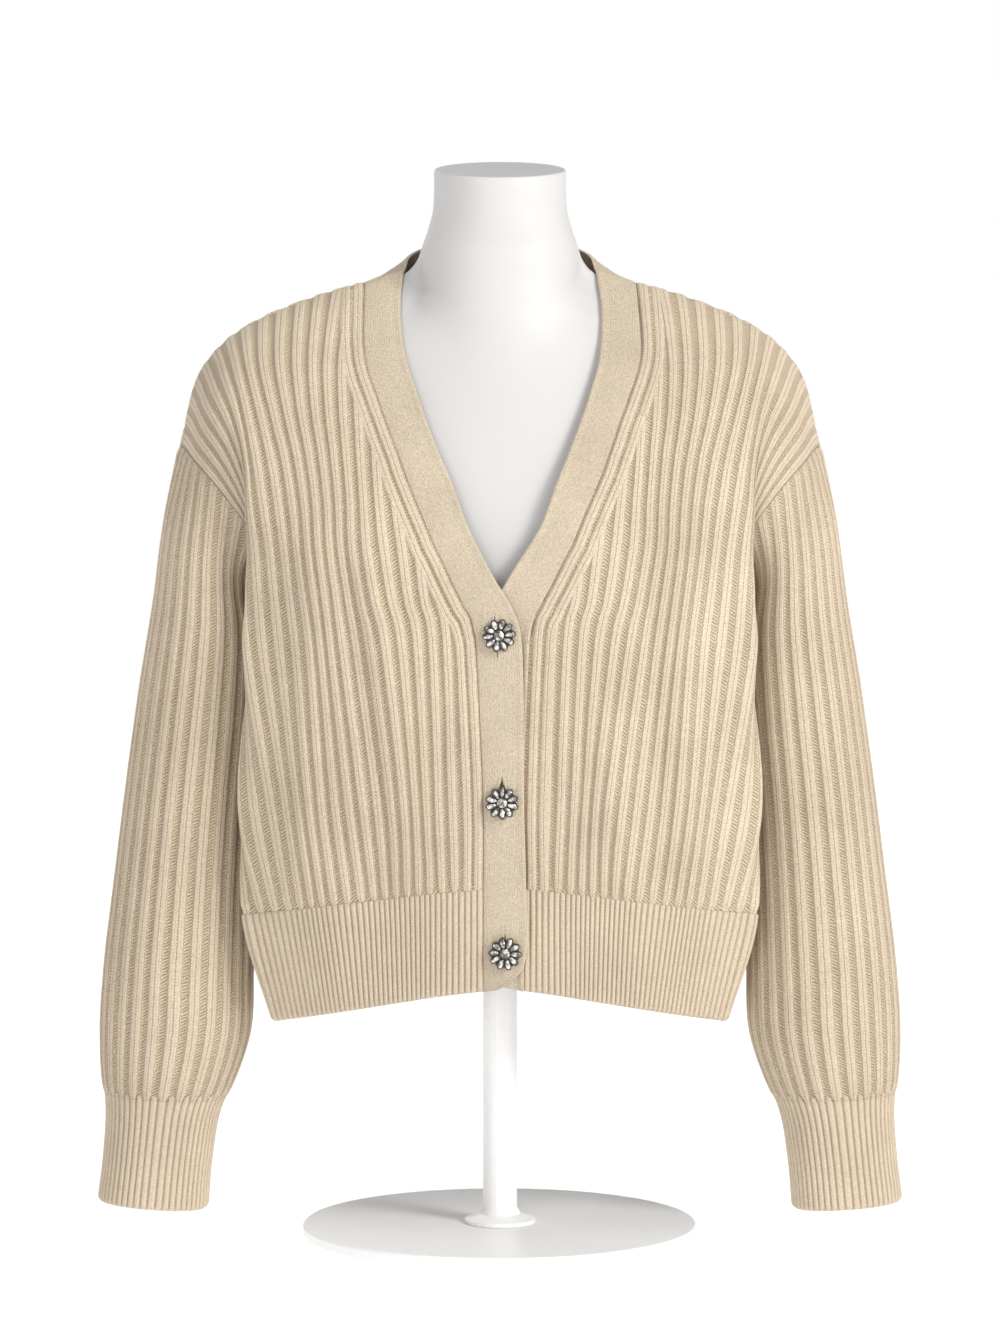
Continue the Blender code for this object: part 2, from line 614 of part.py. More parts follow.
def tube(name, material, side, rows, ribs, rise_mm, inner_step, armhole):
    """A sleeve or cuff: rings of ribs, the first one at the armhole if asked."""
    outer, outer_at, inner, inner_at = [], [], [], []
    if armhole:
        ring = [p + SEAM_OUT[k][1] * SEAM * 1.75 for k, p in enumerate(LOOP)]
        outer.append(ring)
        outer_at.append(list(LOOP_AT))
        inner.append([p - SEAM_OUT[k][0] * WALL for k, p in enumerate(ring)])
        inner_at.append(list(LOOP_AT))
    for n, row in enumerate(rows):
        xo, zo, xu, zu, cy, half = row
        along = np.cross(np.array((xo - xu, 0.0, zo - zu)), np.array((0.0, 1.0, 0.0)))
        along /= np.linalg.norm(along) * (-1 if along[2] > 0 else 1)
        shift = along * SEAM * ((n == 0 and not armhole) - (n == len(rows) - 1 and armhole))
        outs, ins = [], []
        for k in range(ribs * 2):
            at = k / (ribs * 2)
            p, m = sleeve_ring(row, at) + shift, ring_out(row, at)
            full = 1.0
            if armhole and n == 0:
                full = 0.15 + 0.6 * (0.5 + 0.5 * math.cos(2 * math.pi * at))
            outs.append(p + m * rise_mm * full * (k % 2))
            if k % inner_step == 0:
                ins.append(p - m * WALL)
        outer.append(outs)
        outer_at.append([k / (ribs * 2) for k in range(ribs * 2)])
        inner.append(ins)
        inner_at.append([k / (ribs * 2) for k in range(0, ribs * 2, inner_step)])
    return wall(name, material, mirrored(outer, side), outer_at, mirrored(inner, side), inner_at, closed=True)


# ---------------------------------------------------------------- band
def band_stations(left):
    """Where the band is sewn on: (rib, level) from the hem's edge to the shoulder seam."""
    firsts = LEFT_FIRST if left else RIGHT_FIRST
    first = firsts[0]
    stations = [(first, t) for t in (0, 0.3, 1, 2)]
    for i in rib_columns(first, FRONT_RIBS):
        if i <= NECK_CORNER:
            stations.append((i, end_level(firsts, i)))
    return stations


BAND_CUTS = (0.0, 0.35, 0.7, 1.0)


def band_rows(seam_points, edge_points, outs):
    outer, inner = [], []
    for s, e, m in zip(seam_points, edge_points, outs):
        s = s + (e - s) / np.linalg.norm(e - s) * SEAM
        line = [s + (e - s) * u + m * 3.2 * u * (1 - u) for u in BAND_CUTS]
        outer.append([p + m * 0.2 for p in line])
        inner.append([p - m * (BAND_WALL - 0.2) for p in line])
    cuts = [list(BAND_CUTS)] * len(outer)
    return outer, cuts, inner, cuts


def make_band(name, left):
    sheet = LEFT if left else RIGHT
    side = 1 if left else -1
    table = UNDER_EDGE if left else BAND_EDGE
    knots, values = [r[0] for r in table], [r[1:] for r in table]
    seam_points, edges, outs = [], [], []
    for i, t in band_stations(left):
        p, e, m = sheet.point(i, t), smooth(knots, values, t), sheet.normal(i, t, 1)
        if left:
            p, e = push_back(p), push_back(e)
        if t == 10:
            m = np.array((m[0], 0, m[2])) / math.hypot(m[0], m[2])
            p, e = p - (0, SEAM, 0), e - (0, SEAM, 0)
        seam_points.append(p)
        edges.append(e)
        outs.append(m)
    outer, oa, inner, ia = band_rows(seam_points, edges, outs)
    return wall(name, KNIT_BAND, mirrored(outer, side), oa, mirrored(inner, side), ia)


def make_neck_band():
    knots = [r[0] for r in reversed(NECK_EDGE)]
    values = [r[1:] for r in reversed(NECK_EDGE)]
    seam_points, edges, outs = [], [], []
    corner = RIGHT.normal(NECK_CORNER, 10, 1)
    corner = np.array((corner[0], 0, corner[2])) / math.hypot(corner[0], corner[2])
    for k in range(-2 * NECK_RIB, 2 * NECK_RIB + 1):
        i = abs(k / 2)
        p, e, m = BACK.point(i, 10), smooth(knots, values, i), BACK.normal(i, 10, -1)
        if i == NECK_RIB:
            m = corner
            p, e = p + (0, SEAM, 0), e + (0, SEAM, 0)
        flip = np.array((1.0 if k >= 0 else -1.0, 1.0, 1.0))
        seam_points.append(p * flip)
        edges.append(e * flip)
        outs.append(m * flip)
    outer, oa, inner, ia = band_rows(seam_points, edges, outs)
    return wall("band_neck", KNIT_BAND, outer, oa, inner, ia)


# ---------------------------------------------------------------- form and stand
def lathe(name, material, rings):
    """A closed solid from rings of equally many points, capped at both ends."""
    mesh = bmesh.new()
    rows = [[mesh.verts.new(Vector(p) * MM) for p in ring] for ring in rings]
    count = len(rows[0])
    for low, high in zip(rows, rows[1:]):
        for k in range(count):
            n = (k + 1) % count
            mesh.faces.new((low[k], low[n], high[n]))
            mesh.faces.new((low[k], high[n], high[k]))
    mesh.faces.new(list(reversed(rows[0])))
    mesh.faces.new(rows[-1])
    return finish(mesh, name, material, 40)


def knit_inside():
    """The knit's surfaces and points, to keep the form clear of them."""
    verts, faces = [], []
    for thing in GARMENT.objects:
        if thing.name.startswith(("front", "back", "band", "hem")):
            base = len(verts)
            verts += [v.co.copy() for v in thing.data.vertices]
            faces += [[base + v for v in f.vertices] for f in thing.data.polygons]
    return BVHTree.FromPolygons(verts, faces), verts


def ease_inside(rings, tree, points):
    """Draw the form in a little wherever one of its faces would meet the knit."""
    count = len(rings[0])
    for _ in range(150):
        verts = [p * MM for ring in rings for p in ring]
        faces = []
        for r in range(len(rings) - 1):
            for k in range(count):
                a, b = r * count + k, r * count + (k + 1) % count
                faces += [(a, b, b + count), (a, b + count, a + count)]
        form = BVHTree.FromPolygons(verts, faces)
        hit = {v for pair in form.overlap(tree) for v in faces[pair[0]]}
        for p in points:
            near = form.find_nearest(p, 0.45 * MM)
            if near[2] is not None:
                hit.update(faces[near[2]])
        for f in faces:
            a, b, c = (verts[v] for v in f)
            for p in (a, (a + b) / 2, (b + c) / 2, (c + a) / 2, (a + b + c) / 3):
                if tree.find_nearest(p, 0.5 * MM)[2] is not None:
                    hit.update(f)
        if not hit:
            return
        for v in hit:
            ring = rings[v // count]
            centre = sum(ring, Vector()) / count
            ring[v % count] = centre + (ring[v % count] - centre) * 0.988


def make_form():
    tree, points = knit_inside()
    count = 38
    knots = [r[0] for r in FORM_ROWS]
    values = [r[1:] for r in FORM_ROWS]
    rings = []
    for z in knots:
        a, b, n, cy, na, nb = smooth(knots, values, z)
        ring = []
        for k in range(count):
            angle = 2 * math.pi * k / count
            angle += 0.22 * math.sin(2 * angle) * min(max((a - b) / 60, 0), 1) * -1
            c, s = math.cos(angle), math.sin(angle)
            torso = (abs(c / a) ** n + abs(s / b) ** n) ** (-1 / n)
            neck = ((c / na) ** 2 + (s / nb) ** 2) ** -0.5
            reach = (torso**9 + neck**9) ** (1 / 9)
            middle = Vector((0, cy, z))
            full = Vector((c, s, 0)) * reach
            part = 0.55
            while part < 1.0 and tree.find_nearest((middle + full * part) * MM)[3] > FORM_CLEAR * MM:
                part += 0.004
            ring.append(middle + full * min(part, 1.0))
        rings.append(ring)
    ease_inside(rings, tree, points)
    cy, a, b = values[-1][3:]
    for inset, drop in ((0.0, NECK_ROUND), (NECK_ROUND * 0.7, NECK_ROUND * 0.3), (NECK_ROUND * 2, 0.0)):
        ring = []
        for k in range(count):
            angle = 2 * math.pi * k / count
            x, y = (a - inset) * math.cos(angle), (b - inset) * math.sin(angle)
            ring.append(Vector((x, cy + y, NECK_TOP - drop + y * math.tan(NECK_TILT))))
        rings.append(ring)
    return lathe("dress_form", FORM, rings)


def round_ring(radius, z, count, x=0.0, y=0.0):
    return [Vector((x + radius * math.cos(2 * math.pi * k / count),
                    y + radius * math.sin(2 * math.pi * k / count), z)) for k in range(count)]


def make_stand():
    top, chamfer = BASE_HEIGHT, 1.5
    lathe("stand_base", STAND, [round_ring(BASE_RADIUS - 0.8, 0, 48), round_ring(BASE_RADIUS, 0.8, 48),
                                round_ring(BASE_RADIUS, top - chamfer, 48),
                                round_ring(BASE_RADIUS - chamfer, top, 48)])
    lathe("stand_pole", STAND, [round_ring(26, top + 0.3, 28), round_ring(26, top + 3, 28),
                                round_ring(POLE_RADIUS + 2.5, top + 7, 28), round_ring(POLE_RADIUS, top + 12, 28),
                                round_ring(POLE_RADIUS, FORM_ROWS[0][0] - 0.3, 28)])


# ---------------------------------------------------------------- buttons
def make_button(name, x, z, front):
    """A flower of stones: a round stone in the middle and a ring of petals."""
    per = 3
    count = BUTTON_PETALS * per
    profile = ((1.0, 0.0, 0.9), (1.0, 1.3, 0.9), (0.78, 2.6, 1.0), (0.5, 2.5, 0.55), (0.36, 1.6, 0.0), (0.3, 3.4, 0.0))
    mesh = bmesh.new()
    rows = []
    for part, height, wave in profile:
        ring = []
        for k in range(count):
            angle = 2 * math.pi * k / count
            petal = abs(math.cos(BUTTON_PETALS * angle / 2))
            r = BUTTON_RADIUS * part * (1 - 0.16 * wave * (1 - petal))
            h = height * (1 - 0.35 * wave * (1 - petal)) if height > 0 else 0.0
            ring.append(mesh.verts.new(Vector((x + r * math.cos(angle), front - h, z + r * math.sin(angle))) * MM))
        rows.append(ring)
    for low, high in zip(rows, rows[1:]):
        for k in range(count):
            n = (k + 1) % count
            mesh.faces.new((low[k], low[n], high[n], high[k]))
    mesh.faces.new(rows[0])
    top = mesh.verts.new(Vector((x, front - 4.3, z)) * MM)
    for k in range(count):
        mesh.faces.new((rows[-1][k], rows[-1][(k + 1) % count], top))
    return finish(mesh, name, METAL, 30)


def band_front(x, z, radius):
    """The foremost point of the upper band under a button."""
    band = bpy.data.objects["band_right"].data
    tree = BVHTree.FromPolygons([v.co for v in band.vertices], [f.vertices for f in band.polygons])
    best = 0.0
    for k in range(24):
        for r in (0.0, 0.5, 1.0):
            angle = 2 * math.pi * k / 24
            start = Vector((x + r * radius * math.cos(angle), -200, z + r * radius * math.sin(angle)))
            hit = tree.ray_cast(start * MM, Vector((0, 1, 0)))[0]
            if hit:
                best = min(best, hit.y / MM)
    return best


make_front("front_right", False)
make_front("front_left", True)
make_back()
make_hem("hem_front_right")
make_hem("hem_front_left", left=True)
make_hem("hem_back", back=True)
for label, hand in (("right", -1), ("left", 1)):
    tube("sleeve_" + label, KNIT_SLEEVE, hand, SLEEVE_ROWS, SLEEVE_RIBS, RIB_RISE, 2, True)
    tube("cuff_" + label, KNIT_RIB, hand, CUFF_ROWS, CUFF_RIBS, FINE_RISE, 4, False)
make_band("band_right", False)
make_band("band_left", True)
make_neck_band()
make_form()
make_stand()
for number, (bx, bz) in enumerate(zip(BUTTON_X, BUTTON_Z), 1):
    make_button("button_%d" % number, bx, bz, band_front(bx, bz, BUTTON_RADIUS) - 0.35)
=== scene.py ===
# %% [markdown]
# # A ribbed cardigan on a dress form
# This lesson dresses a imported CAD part: a cropped V-neck cardigan in broad rib knit, closed with three
# jewelled buttons, on a white limbless form.  The CAD part already holds the outline, the walls and the
# main ribs.  Here each knitted piece is made again from the same rows of measurements, but finely enough
# to carry a real rib profile, and then gets yarn, stitches and light.

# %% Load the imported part
import math

import bmesh
import bpy
import numpy as np
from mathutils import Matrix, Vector


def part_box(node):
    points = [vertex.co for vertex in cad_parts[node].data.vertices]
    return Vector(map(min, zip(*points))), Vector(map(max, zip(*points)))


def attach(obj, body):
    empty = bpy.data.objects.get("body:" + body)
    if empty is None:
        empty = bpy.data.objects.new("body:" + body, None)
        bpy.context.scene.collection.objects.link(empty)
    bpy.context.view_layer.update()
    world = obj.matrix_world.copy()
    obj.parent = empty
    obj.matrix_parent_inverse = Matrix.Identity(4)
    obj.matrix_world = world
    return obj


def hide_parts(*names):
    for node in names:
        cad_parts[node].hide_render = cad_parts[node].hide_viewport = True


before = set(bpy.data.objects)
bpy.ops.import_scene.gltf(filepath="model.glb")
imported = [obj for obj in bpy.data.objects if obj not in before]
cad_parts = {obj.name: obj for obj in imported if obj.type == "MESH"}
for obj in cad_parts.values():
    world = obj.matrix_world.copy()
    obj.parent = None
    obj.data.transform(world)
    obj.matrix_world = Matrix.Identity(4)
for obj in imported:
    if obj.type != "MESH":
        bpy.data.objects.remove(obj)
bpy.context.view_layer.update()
MM = 0.001

# %% [markdown]
# ## Node trees in a few words
# Shader nodes and geometry nodes are both built from small steps.  `put` adds one node, sets its options
# and fills its inputs.  It returns a Wire, a value inside the tree that adds and multiplies like a number,
# so that a tree of nodes reads like a formula.

# %% Wires
class Wire:
    """A value in a node tree. Arithmetic with wires and numbers makes Math nodes."""

    def __init__(self, socket):
        self.socket, self.node, self.tree = socket, socket.node, socket.id_data

    def out(self, name):
        """Another output of the same node."""
        return Wire(self.node.outputs[name])

    def __abs__(self):
        return maths("ABSOLUTE", self)


def maths(operation, *inputs):
    tree = next(value.tree for value in inputs if isinstance(value, Wire))
    return put(tree, "ShaderNodeMath", *inputs, operation=operation)


for sign, operation in (("add", "ADD"), ("sub", "SUBTRACT"), ("mul", "MULTIPLY"), ("truediv", "DIVIDE")):
    setattr(Wire, "__%s__" % sign, lambda self, other, kind=operation: maths(kind, self, other))
    setattr(Wire, "__r%s__" % sign, lambda self, other, kind=operation: maths(kind, other, self))


def plug(socket, value):
    """Fills an input with a wire, a number or a colour. None leaves it as it is."""
    if isinstance(value, Wire):
        socket.id_data.links.new(value.socket, socket)
    elif value is not None:
        no_alpha = socket.type == "RGBA" and len(value) == 3
        socket.default_value = (*value, 1.0) if no_alpha else value


def fill(node, **values):
    for name, value in values.items():
        plug(node.inputs[name.replace("_", " ")], value)


def put(tree, kind, *inputs, **options):
    """Adds a node and returns its first output. Inputs come in order, or by name with a capital letter."""
    node = tree.nodes.new(kind)
    for name, value in options.items():
        if name[0].islower():
            setattr(node, name, value)
    for socket, value in zip([s for s in node.inputs if s.enabled], inputs):
        plug(socket, value)
    fill(node, **{name: value for name, value in options.items() if name[0].isupper()})
    return next((Wire(socket) for socket in node.outputs if socket.enabled), None)


def step_up(value, low, high, bottom=0.0, top=1.0):
    """A smooth step from bottom to top while value goes from low to high."""
    return put(value.tree, "ShaderNodeMapRange", value, low, high, bottom, top, interpolation_type="SMOOTHSTEP")


def noise(place, scale, detail, **more):
    return put(place.tree, "ShaderNodeTexNoise", Vector=place, Scale=scale, Detail=detail, **more)


def ramp(value, *stops):
    """Colours between the given (place, colour) stops."""
    made = put(value.tree, "ShaderNodeValToRGB", value)
    elements = made.node.color_ramp.elements
    while len(elements) < len(stops):
        elements.new(0.5)
    for element, (place, colour) in zip(elements, stops):
        element.position, element.color = place, (*colour, 1.0)
    return made


def mixed(tree, share, one, two, kind="MIX"):
    return put(tree, "ShaderNodeMix", share, one, two, data_type="RGBA", blend_type=kind)


def relief(height, depth, strength=1.0):
    return put(height.tree, "ShaderNodeBump", strength, depth, Height=height)


def node_group(name, kind, inputs, outputs):
    """A node tree and its inputs as wires. Each input is given by its default, or by its kind of socket."""
    tree = bpy.data.node_groups.new(name, kind)
    for way, sockets in (("INPUT", inputs), ("OUTPUT", outputs)):
        for label, given in sockets.items():
            sort = given if isinstance(given, str) else {int: "Int", float: "Float"}[type(given)]
            socket = tree.interface.new_socket(label, in_out=way, socket_type="NodeSocket" + sort)
            if given is not sort:
                socket.default_value = given
    start = tree.nodes.new("NodeGroupInput")
    return tree, {socket.name: Wire(socket) for socket in start.outputs}


def material(name, **settings):
    """A material, its node tree and its shader."""
    made = bpy.data.materials.new(name)
    made.use_nodes = True
    shader = made.node_tree.nodes["Principled BSDF"]
    fill(shader, **settings)
    return made, made.node_tree, shader


def painted(name, colour, rough, grain=900.0, depth=0.00004, mottle=0.03):
    """Nearly even paint, plastic or yarn, with a fine grain and slight cloudiness."""
    made, tree, shader = material(name, Base_Color=colour, Roughness=rough)
    place = put(tree, "ShaderNodeTexCoord").out("Object")
    cloud = ramp(noise(place, 7.0, 4.0), (0.3, tuple(c * (1 - mottle) for c in colour)), (0.7, colour))
    fine = noise(place, grain, 2.0)
    rough = step_up(fine, 0.3, 0.7, rough - 0.05, rough + 0.06)
    fill(shader, Base_Color=cloud, Roughness=rough, Normal=relief(fine, depth))
    return made


# %% [markdown]
# ## Camera
# A garment is best seen from far away through a long lens, so that both sleeves look alike and no edge
# bends.  The camera stands four metres away, a little above the buttons, and looks slightly down.

# %% Camera
CAMERA_DISTANCE, CAMERA_LENS = 4.0, 148.0
CAMERA_TILT = math.radians(4.5)
CAMERA_AIM = Vector((0.0, 0.0, 0.418))


def placed(name, data):
    """A new object in the scene."""
    thing = bpy.data.objects.new(name, data)
    bpy.context.scene.collection.objects.link(thing)
    return thing


def facing(name, data, place, way):
    """A camera or a lamp at place that looks along the direction way."""
    thing = placed(name, data)
    thing.location = place
    thing.rotation_mode = "QUATERNION"
    thing.rotation_quaternion = way.to_track_quat("-Z", "Y")
    return thing


towards = Vector((0.0, -math.cos(CAMERA_TILT), math.sin(CAMERA_TILT)))
camera_data = bpy.data.cameras.new("garment_camera")
camera_data.lens = CAMERA_LENS
camera = facing("garment_camera", camera_data, CAMERA_AIM + towards * CAMERA_DISTANCE, -towards)
bpy.context.scene.camera = camera

# %% [markdown]
# ## Studio
# A cream knit on a white form shows its ribs only when most of the light comes from one side.  One broad
# soft lamp stands to the right, a weaker one fills from the front, and two more lighten the top and the
# back.  The world is white only round the horizon, so that the background is white from every side, while
# the sky above stays dim and leaves the valleys between the ribs their soft shadow.

# %% Lamps
# name, place, height of the aim, width and height of the lamp, watts, colour
LAMPS = (
    ("key_light", (2.7, -2.2, 2.3), 0.45, (1.3, 1.9), 116, (1.0, 0.985, 0.96)),
    ("fill_light", (-1.1, -3.9, 1.3), 0.45, (1.8, 1.8), 34, (1.0, 1.0, 1.0)),
    ("top_light", (-0.4, -0.7, 3.2), 0.4, (1.8, 1.6), 22, (1.0, 1.0, 1.0)),
    ("back_light", (-1.5, 3.4, 2.2), 0.5, (2.4, 2.0), 28, (1.0, 1.0, 1.0)),
)
for name, place, aim, size, watts, colour in LAMPS:
    lamp = bpy.data.lights.new(name, "AREA")
    lamp.shape = "RECTANGLE"
    lamp.size, lamp.size_y = size
    lamp.energy, lamp.color = watts, colour
    facing(name, lamp, place, Vector((0, 0, aim)) - Vector(place))
bpy.context.scene.view_settings.view_transform = "Standard"
print("lamps", [row[0] for row in LAMPS])

# %% World and floor
HORIZON = (0.14, 0.28)                # how far up the world turns from white to dim
WORLD_LOW, WORLD_HIGH = 1.0, 0.13     # its strength below and above that
FLOOR_RADIUS, FLOOR_SIDES, FLOOR_LEVEL = 20, 96, -0.0002
FLOOR_GREY, FLOOR_GLOW = 0.35, 0.93

world = bpy.data.worlds.new("studio_world")
world.use_nodes = True
sky = world.node_tree
up = put(sky, "ShaderNodeSeparateXYZ", put(sky, "ShaderNodeTexCoord").out("Generated")).out("Z")
fill(sky.nodes["Background"], Color=(1.0, 1.0, 1.0), Strength=step_up(up, *HORIZON, WORLD_LOW, WORLD_HIGH))
bpy.context.scene.world = world

turns = np.linspace(0, 2 * math.pi, FLOOR_SIDES, endpoint=False)
floor_mesh = bpy.data.meshes.new("studio_floor")
floor_mesh.from_pydata([(FLOOR_RADIUS * math.cos(a), FLOOR_RADIUS * math.sin(a), FLOOR_LEVEL)
                        for a in turns], [],
                       [list(range(FLOOR_SIDES))])
floor = placed("studio_floor", floor_mesh)
floor_mesh.materials.append(material("studio_floor", Base_Color=(FLOOR_GREY,) * 3, Roughness=0.9,
                                     Emission_Color=(1.0, 1.0, 1.0), Emission_Strength=FLOOR_GLOW)[0])
print("floor", len(floor_mesh.polygons), "face")

# %% [markdown]
# ## Rows of measurements
# A knitted panel is a sheet that follows the body, so it is described like a pattern: a row of places for
# each level from the hem's edge (0) up to the shoulder (10), in millimetres.  Across a row the places are
# counted in ribs, because a rib keeps its number all the way up, however the cloth bends.  `x` runs
# outwards from the middle, `y` is depth and `z` height.

# %% Rows of the fronts and the back
FRONT_RIBS, BACK_RIBS, SLEEVE_RIBS = 20, 21, 26
HEM_RIBS_FRONT, HEM_RIBS_BACK, CUFF_RIBS = 45, 92, 52
RIB_RISE, FINE_RISE = 2.15, 1.375   # how far a broad and a fine rib stand out
WALL = 2.4                          # the cloth below the ribs
OVERLAP = 4.2                       # the under band lies this far behind the upper one
NECK_CORNER, NECK_RIB = 6.2, 9      # ribs of the front and back where the shoulder seam meets the band
SEAM = 0.1                          # half the gap between two sewn edges

# t: level; n: band seam; c: bend at the arm; d: past the bend; a: side seam or armhole;
# in, inr: rib number at the band seam of the right and the left front; xnr: its x on the left front
#    t  xn    yn   zn    in   xnr   inr   xc     yc   zc   ic    xd   yd   zd   xa   ya  za
FRONT_ROWS = (
    (0, 12.2, -90, 191, -0.62, 21.0, 0.4, 164, -30, 161, 18.6, 165, -15, 160, 159, -2, 160),
    (1, 12.2, -94, 265.5, -0.62, 21.0, 0.4, 186.5, -35, 240.5, 18.9, 185, -18, 239.5, 172, -2, 239),
    (2, 12.2, -103, 330.5, -0.62, 21.0, 0.4, 187, -50, 325, 17.3, 186, -33, 324, 169, -5, 323),
    (3, 17.8, -111, 446, -0.60, 21.4, 0.0, 182.5, -63, 427.5, 15.7, 180, -46, 427, 159, -5, 426),
    (4, 28.4, -110, 474, 0.1, 31.3, 0.4, 180, -66, 471, 15.2, 174, -44, 470, 156, -5, 467),
    (5, 47.5, -106, 513, 1.5, 52.0, 1.9, 177.5, -72, 507, 14.8, 170, -36, 496.5, 165, 0, 492),
    (6, 60.7, -98, 544.5, 2.3, 65.0, 2.7, 176, -76, 540, 14.2, 175, -60, 513, 173, -40, 507),
    (7, 72.6, -88, 576, 3.1, 77.5, 3.4, 176.5, -76, 572, 13.8, 181, -71, 549, 182, -57, 524),
    (8, 86.1, -72, 611, 4.2, 90.5, 4.6, 179.5, -66, 604, 13.4, 192, -65, 577, 200, -58, 548),
    (9, 97.6, -48, 650, 5.1, 101.5, 5.4, 185, -42, 639, 13.0, 208, -45, 607, 218, -40, 567),
    (10, 99.0, 0, 697.5, 6.2, 99.0, 6.2, 186, 0, 664.5, 12.55, 214, 0, 639, 233, 0, 579),
)
# where ribs 3, 6, 9, 12 and 15 cross each level: their x
RIB_MARKS = (
    {3: 46, 6: 68, 9: 90, 12: 113, 15: 135}, {3: 46, 6: 70, 9: 94.5, 12: 123, 15: 147},
    {3: 48.5, 6: 73, 9: 103, 12: 132.5, 15: 158.5}, {3: 53, 6: 86.5, 9: 116, 12: 139.5},
    {3: 59, 6: 93.5, 9: 120.5, 12: 144}, {3: 64, 6: 100, 9: 125, 12: 148.5},
    {6: 102, 9: 127, 12: 152.5}, {6: 104.5, 9: 131, 12: 158}, {6: 107, 9: 137, 12: 166.5},
    {9: 140, 12: 175.5}, {9: 137},
)
# the back: m: the middle; s: below the neck's side; b: bend at the arm; d, a: as on the front
#    t  ym   zm    xs   ys   zs    xb   yb   zb   xd   yd   zd   xa   ya  za
BACK_ROWS = (
    (0, 92, 178, 92, 88, 175, 158, 46, 163, 163, 20, 161, 159, -2, 160),
    (1, 97, 256, 97, 93, 253.5, 180, 49, 242, 174, 22, 240, 172, -2, 239),
    (2, 104, 325, 99, 99, 325, 183, 61, 325, 172, 29, 324, 169, -5, 323),
    (3, 108, 428, 100, 102, 428, 180, 70, 428, 161, 31, 427, 159, -5, 426),
    (4, 108, 472, 100, 102, 472, 179, 75, 471, 158, 33, 469, 156, -5, 467),
    (5, 108, 511, 99, 102, 510, 177, 80, 507, 167, 38, 496.5, 165, 0, 492),
    (6, 108, 546, 98, 102, 544, 176, 84, 540, 174.5, 64, 512.5, 173, 44, 507),
    (7, 106, 582, 98, 100, 579, 176.5, 84, 572, 181, 76, 549, 182, 62, 524),
    (8, 102, 620, 98, 91, 614, 179.5, 73, 604, 192, 71, 577, 200, 62, 548),
    (9, 95, 657, 99, 64, 653, 185, 47, 639, 208, 49, 607, 218, 43, 567),
    (10, 81, 692, 99, 0, 697.5, 186, 0, 664.5, 214, 0, 639, 233, 0, 579),
)
NECK_SEAM = ((3, 37, 76.5, 692), (6, 74, 55, 693.5), (8, 95, 20, 696.5))   # rib, x, y, z of the back neck
BACK_SHOULDER = (10, (107, 0, 695.0))                                      # rib and place beside the neck
print(len(FRONT_ROWS), "levels")

# %% [markdown]
# ## Smooth curves through the rows
# The places of a row are far apart, so a smooth curve joins them.  A Hermite curve goes exactly through
# its points and doesn't overshoot much, and numpy reads it at thousands of rib numbers in one step.
# Between levels a Catmull-Rom curve does the same, so that a panel is one smooth sheet.

# %% Curves and the Sheet class
def unit(v):
    return v / np.maximum(np.linalg.norm(v, axis=-1, keepdims=True), 1e-12)


def lean(one, two, share):
    """Directions that turn from one to two while share goes from 0 to 1."""
    return unit(one * (1 - share) + two * share)


def ease(value, low, high):
    """0 below low, 1 above high, and a smooth step between them."""
    u = np.clip((np.asarray(value, float) - low) / (high - low), 0, 1)
    return u * u * (3 - 2 * u)


def length_along(points):
    """Millimetres from the first row of points, along each column."""
    steps = np.linalg.norm(np.diff(points, axis=0), axis=-1)
    return np.concatenate((np.zeros_like(steps[:1]), np.cumsum(steps, 0)))


def curve(knots, values, at):
    """The smooth curve through values (n, ...) at knots, read at an array of numbers."""
    k, v, at = np.asarray(knots, float), np.asarray(values, float), np.asarray(at, float)
    wide = (1,) * (v.ndim - 1)
    step = np.diff(k).reshape((-1,) + wide)
    slope = np.diff(v, axis=0) / step
    tangent = np.empty_like(v)
    tangent[0], tangent[-1] = slope[0], slope[-1]
    tangent[1:-1] = (slope[:-1] * step[1:] + slope[1:] * step[:-1]) / (step[:-1] + step[1:])
    n = np.clip(np.searchsorted(k, at, side="right") - 1, 0, len(k) - 2)
    h = (k[n + 1] - k[n]).reshape(at.shape + wide)
    u = ((np.clip(at, k[0], k[-1]) - k[n]) / (k[n + 1] - k[n])).reshape(at.shape + wide)
    inside = ((2 * u**3 - 3 * u**2 + 1) * v[n] + (u**3 - 2 * u**2 + u) * h * tangent[n]
              + (3 * u**2 - 2 * u**3) * v[n + 1] + (u**3 - u**2) * h * tangent[n + 1])
    before = np.minimum(at - k[0], 0).reshape(at.shape + wide)
    after = np.maximum(at - k[-1], 0).reshape(at.shape + wide)
    return inside + before * tangent[0] + after * tangent[-1]


def spaced(points, first, last):
    """Rib numbers for points between two known ones, by their distance apart."""
    run = length_along(np.array(points, float))
    return list(first + (last - first) * run / run[-1])


def front_row(row, left):
    """Rib numbers and points of one level of a front."""
    t, xn, yn, zn, rib, xnr, rib_left, xc, yc, zc, ic, xd, yd, zd, xa, ya, za = row
    xs, first = (xnr, rib_left) if left else (xn, rib)
    marks = [(first, xs)] + [(k, x) for k, x in RIB_MARKS[t].items() if first + 0.8 < k < ic - 0.5]
    if ic - marks[-1][0] > 1.3:                       # a softer bend: one more point a little before it
        k, x = marks[-1]
        marks.append((ic - 0.75, x + (xc - x) * (1 - 0.75 / (ic - k))))
    points = []
    for k, x in marks:
        u = max((x - xn) / (xc - xn), 0.0)
        points.append((x, yn + (yc - yn) * u**2.6, zn + (zc - zn) * u**1.3))
    tail = [(xc, yc, zc), (xd, yd, zd), (xa, ya, za)]
    return [k for k, x in marks] + spaced(tail, ic, FRONT_RIBS), points + tail


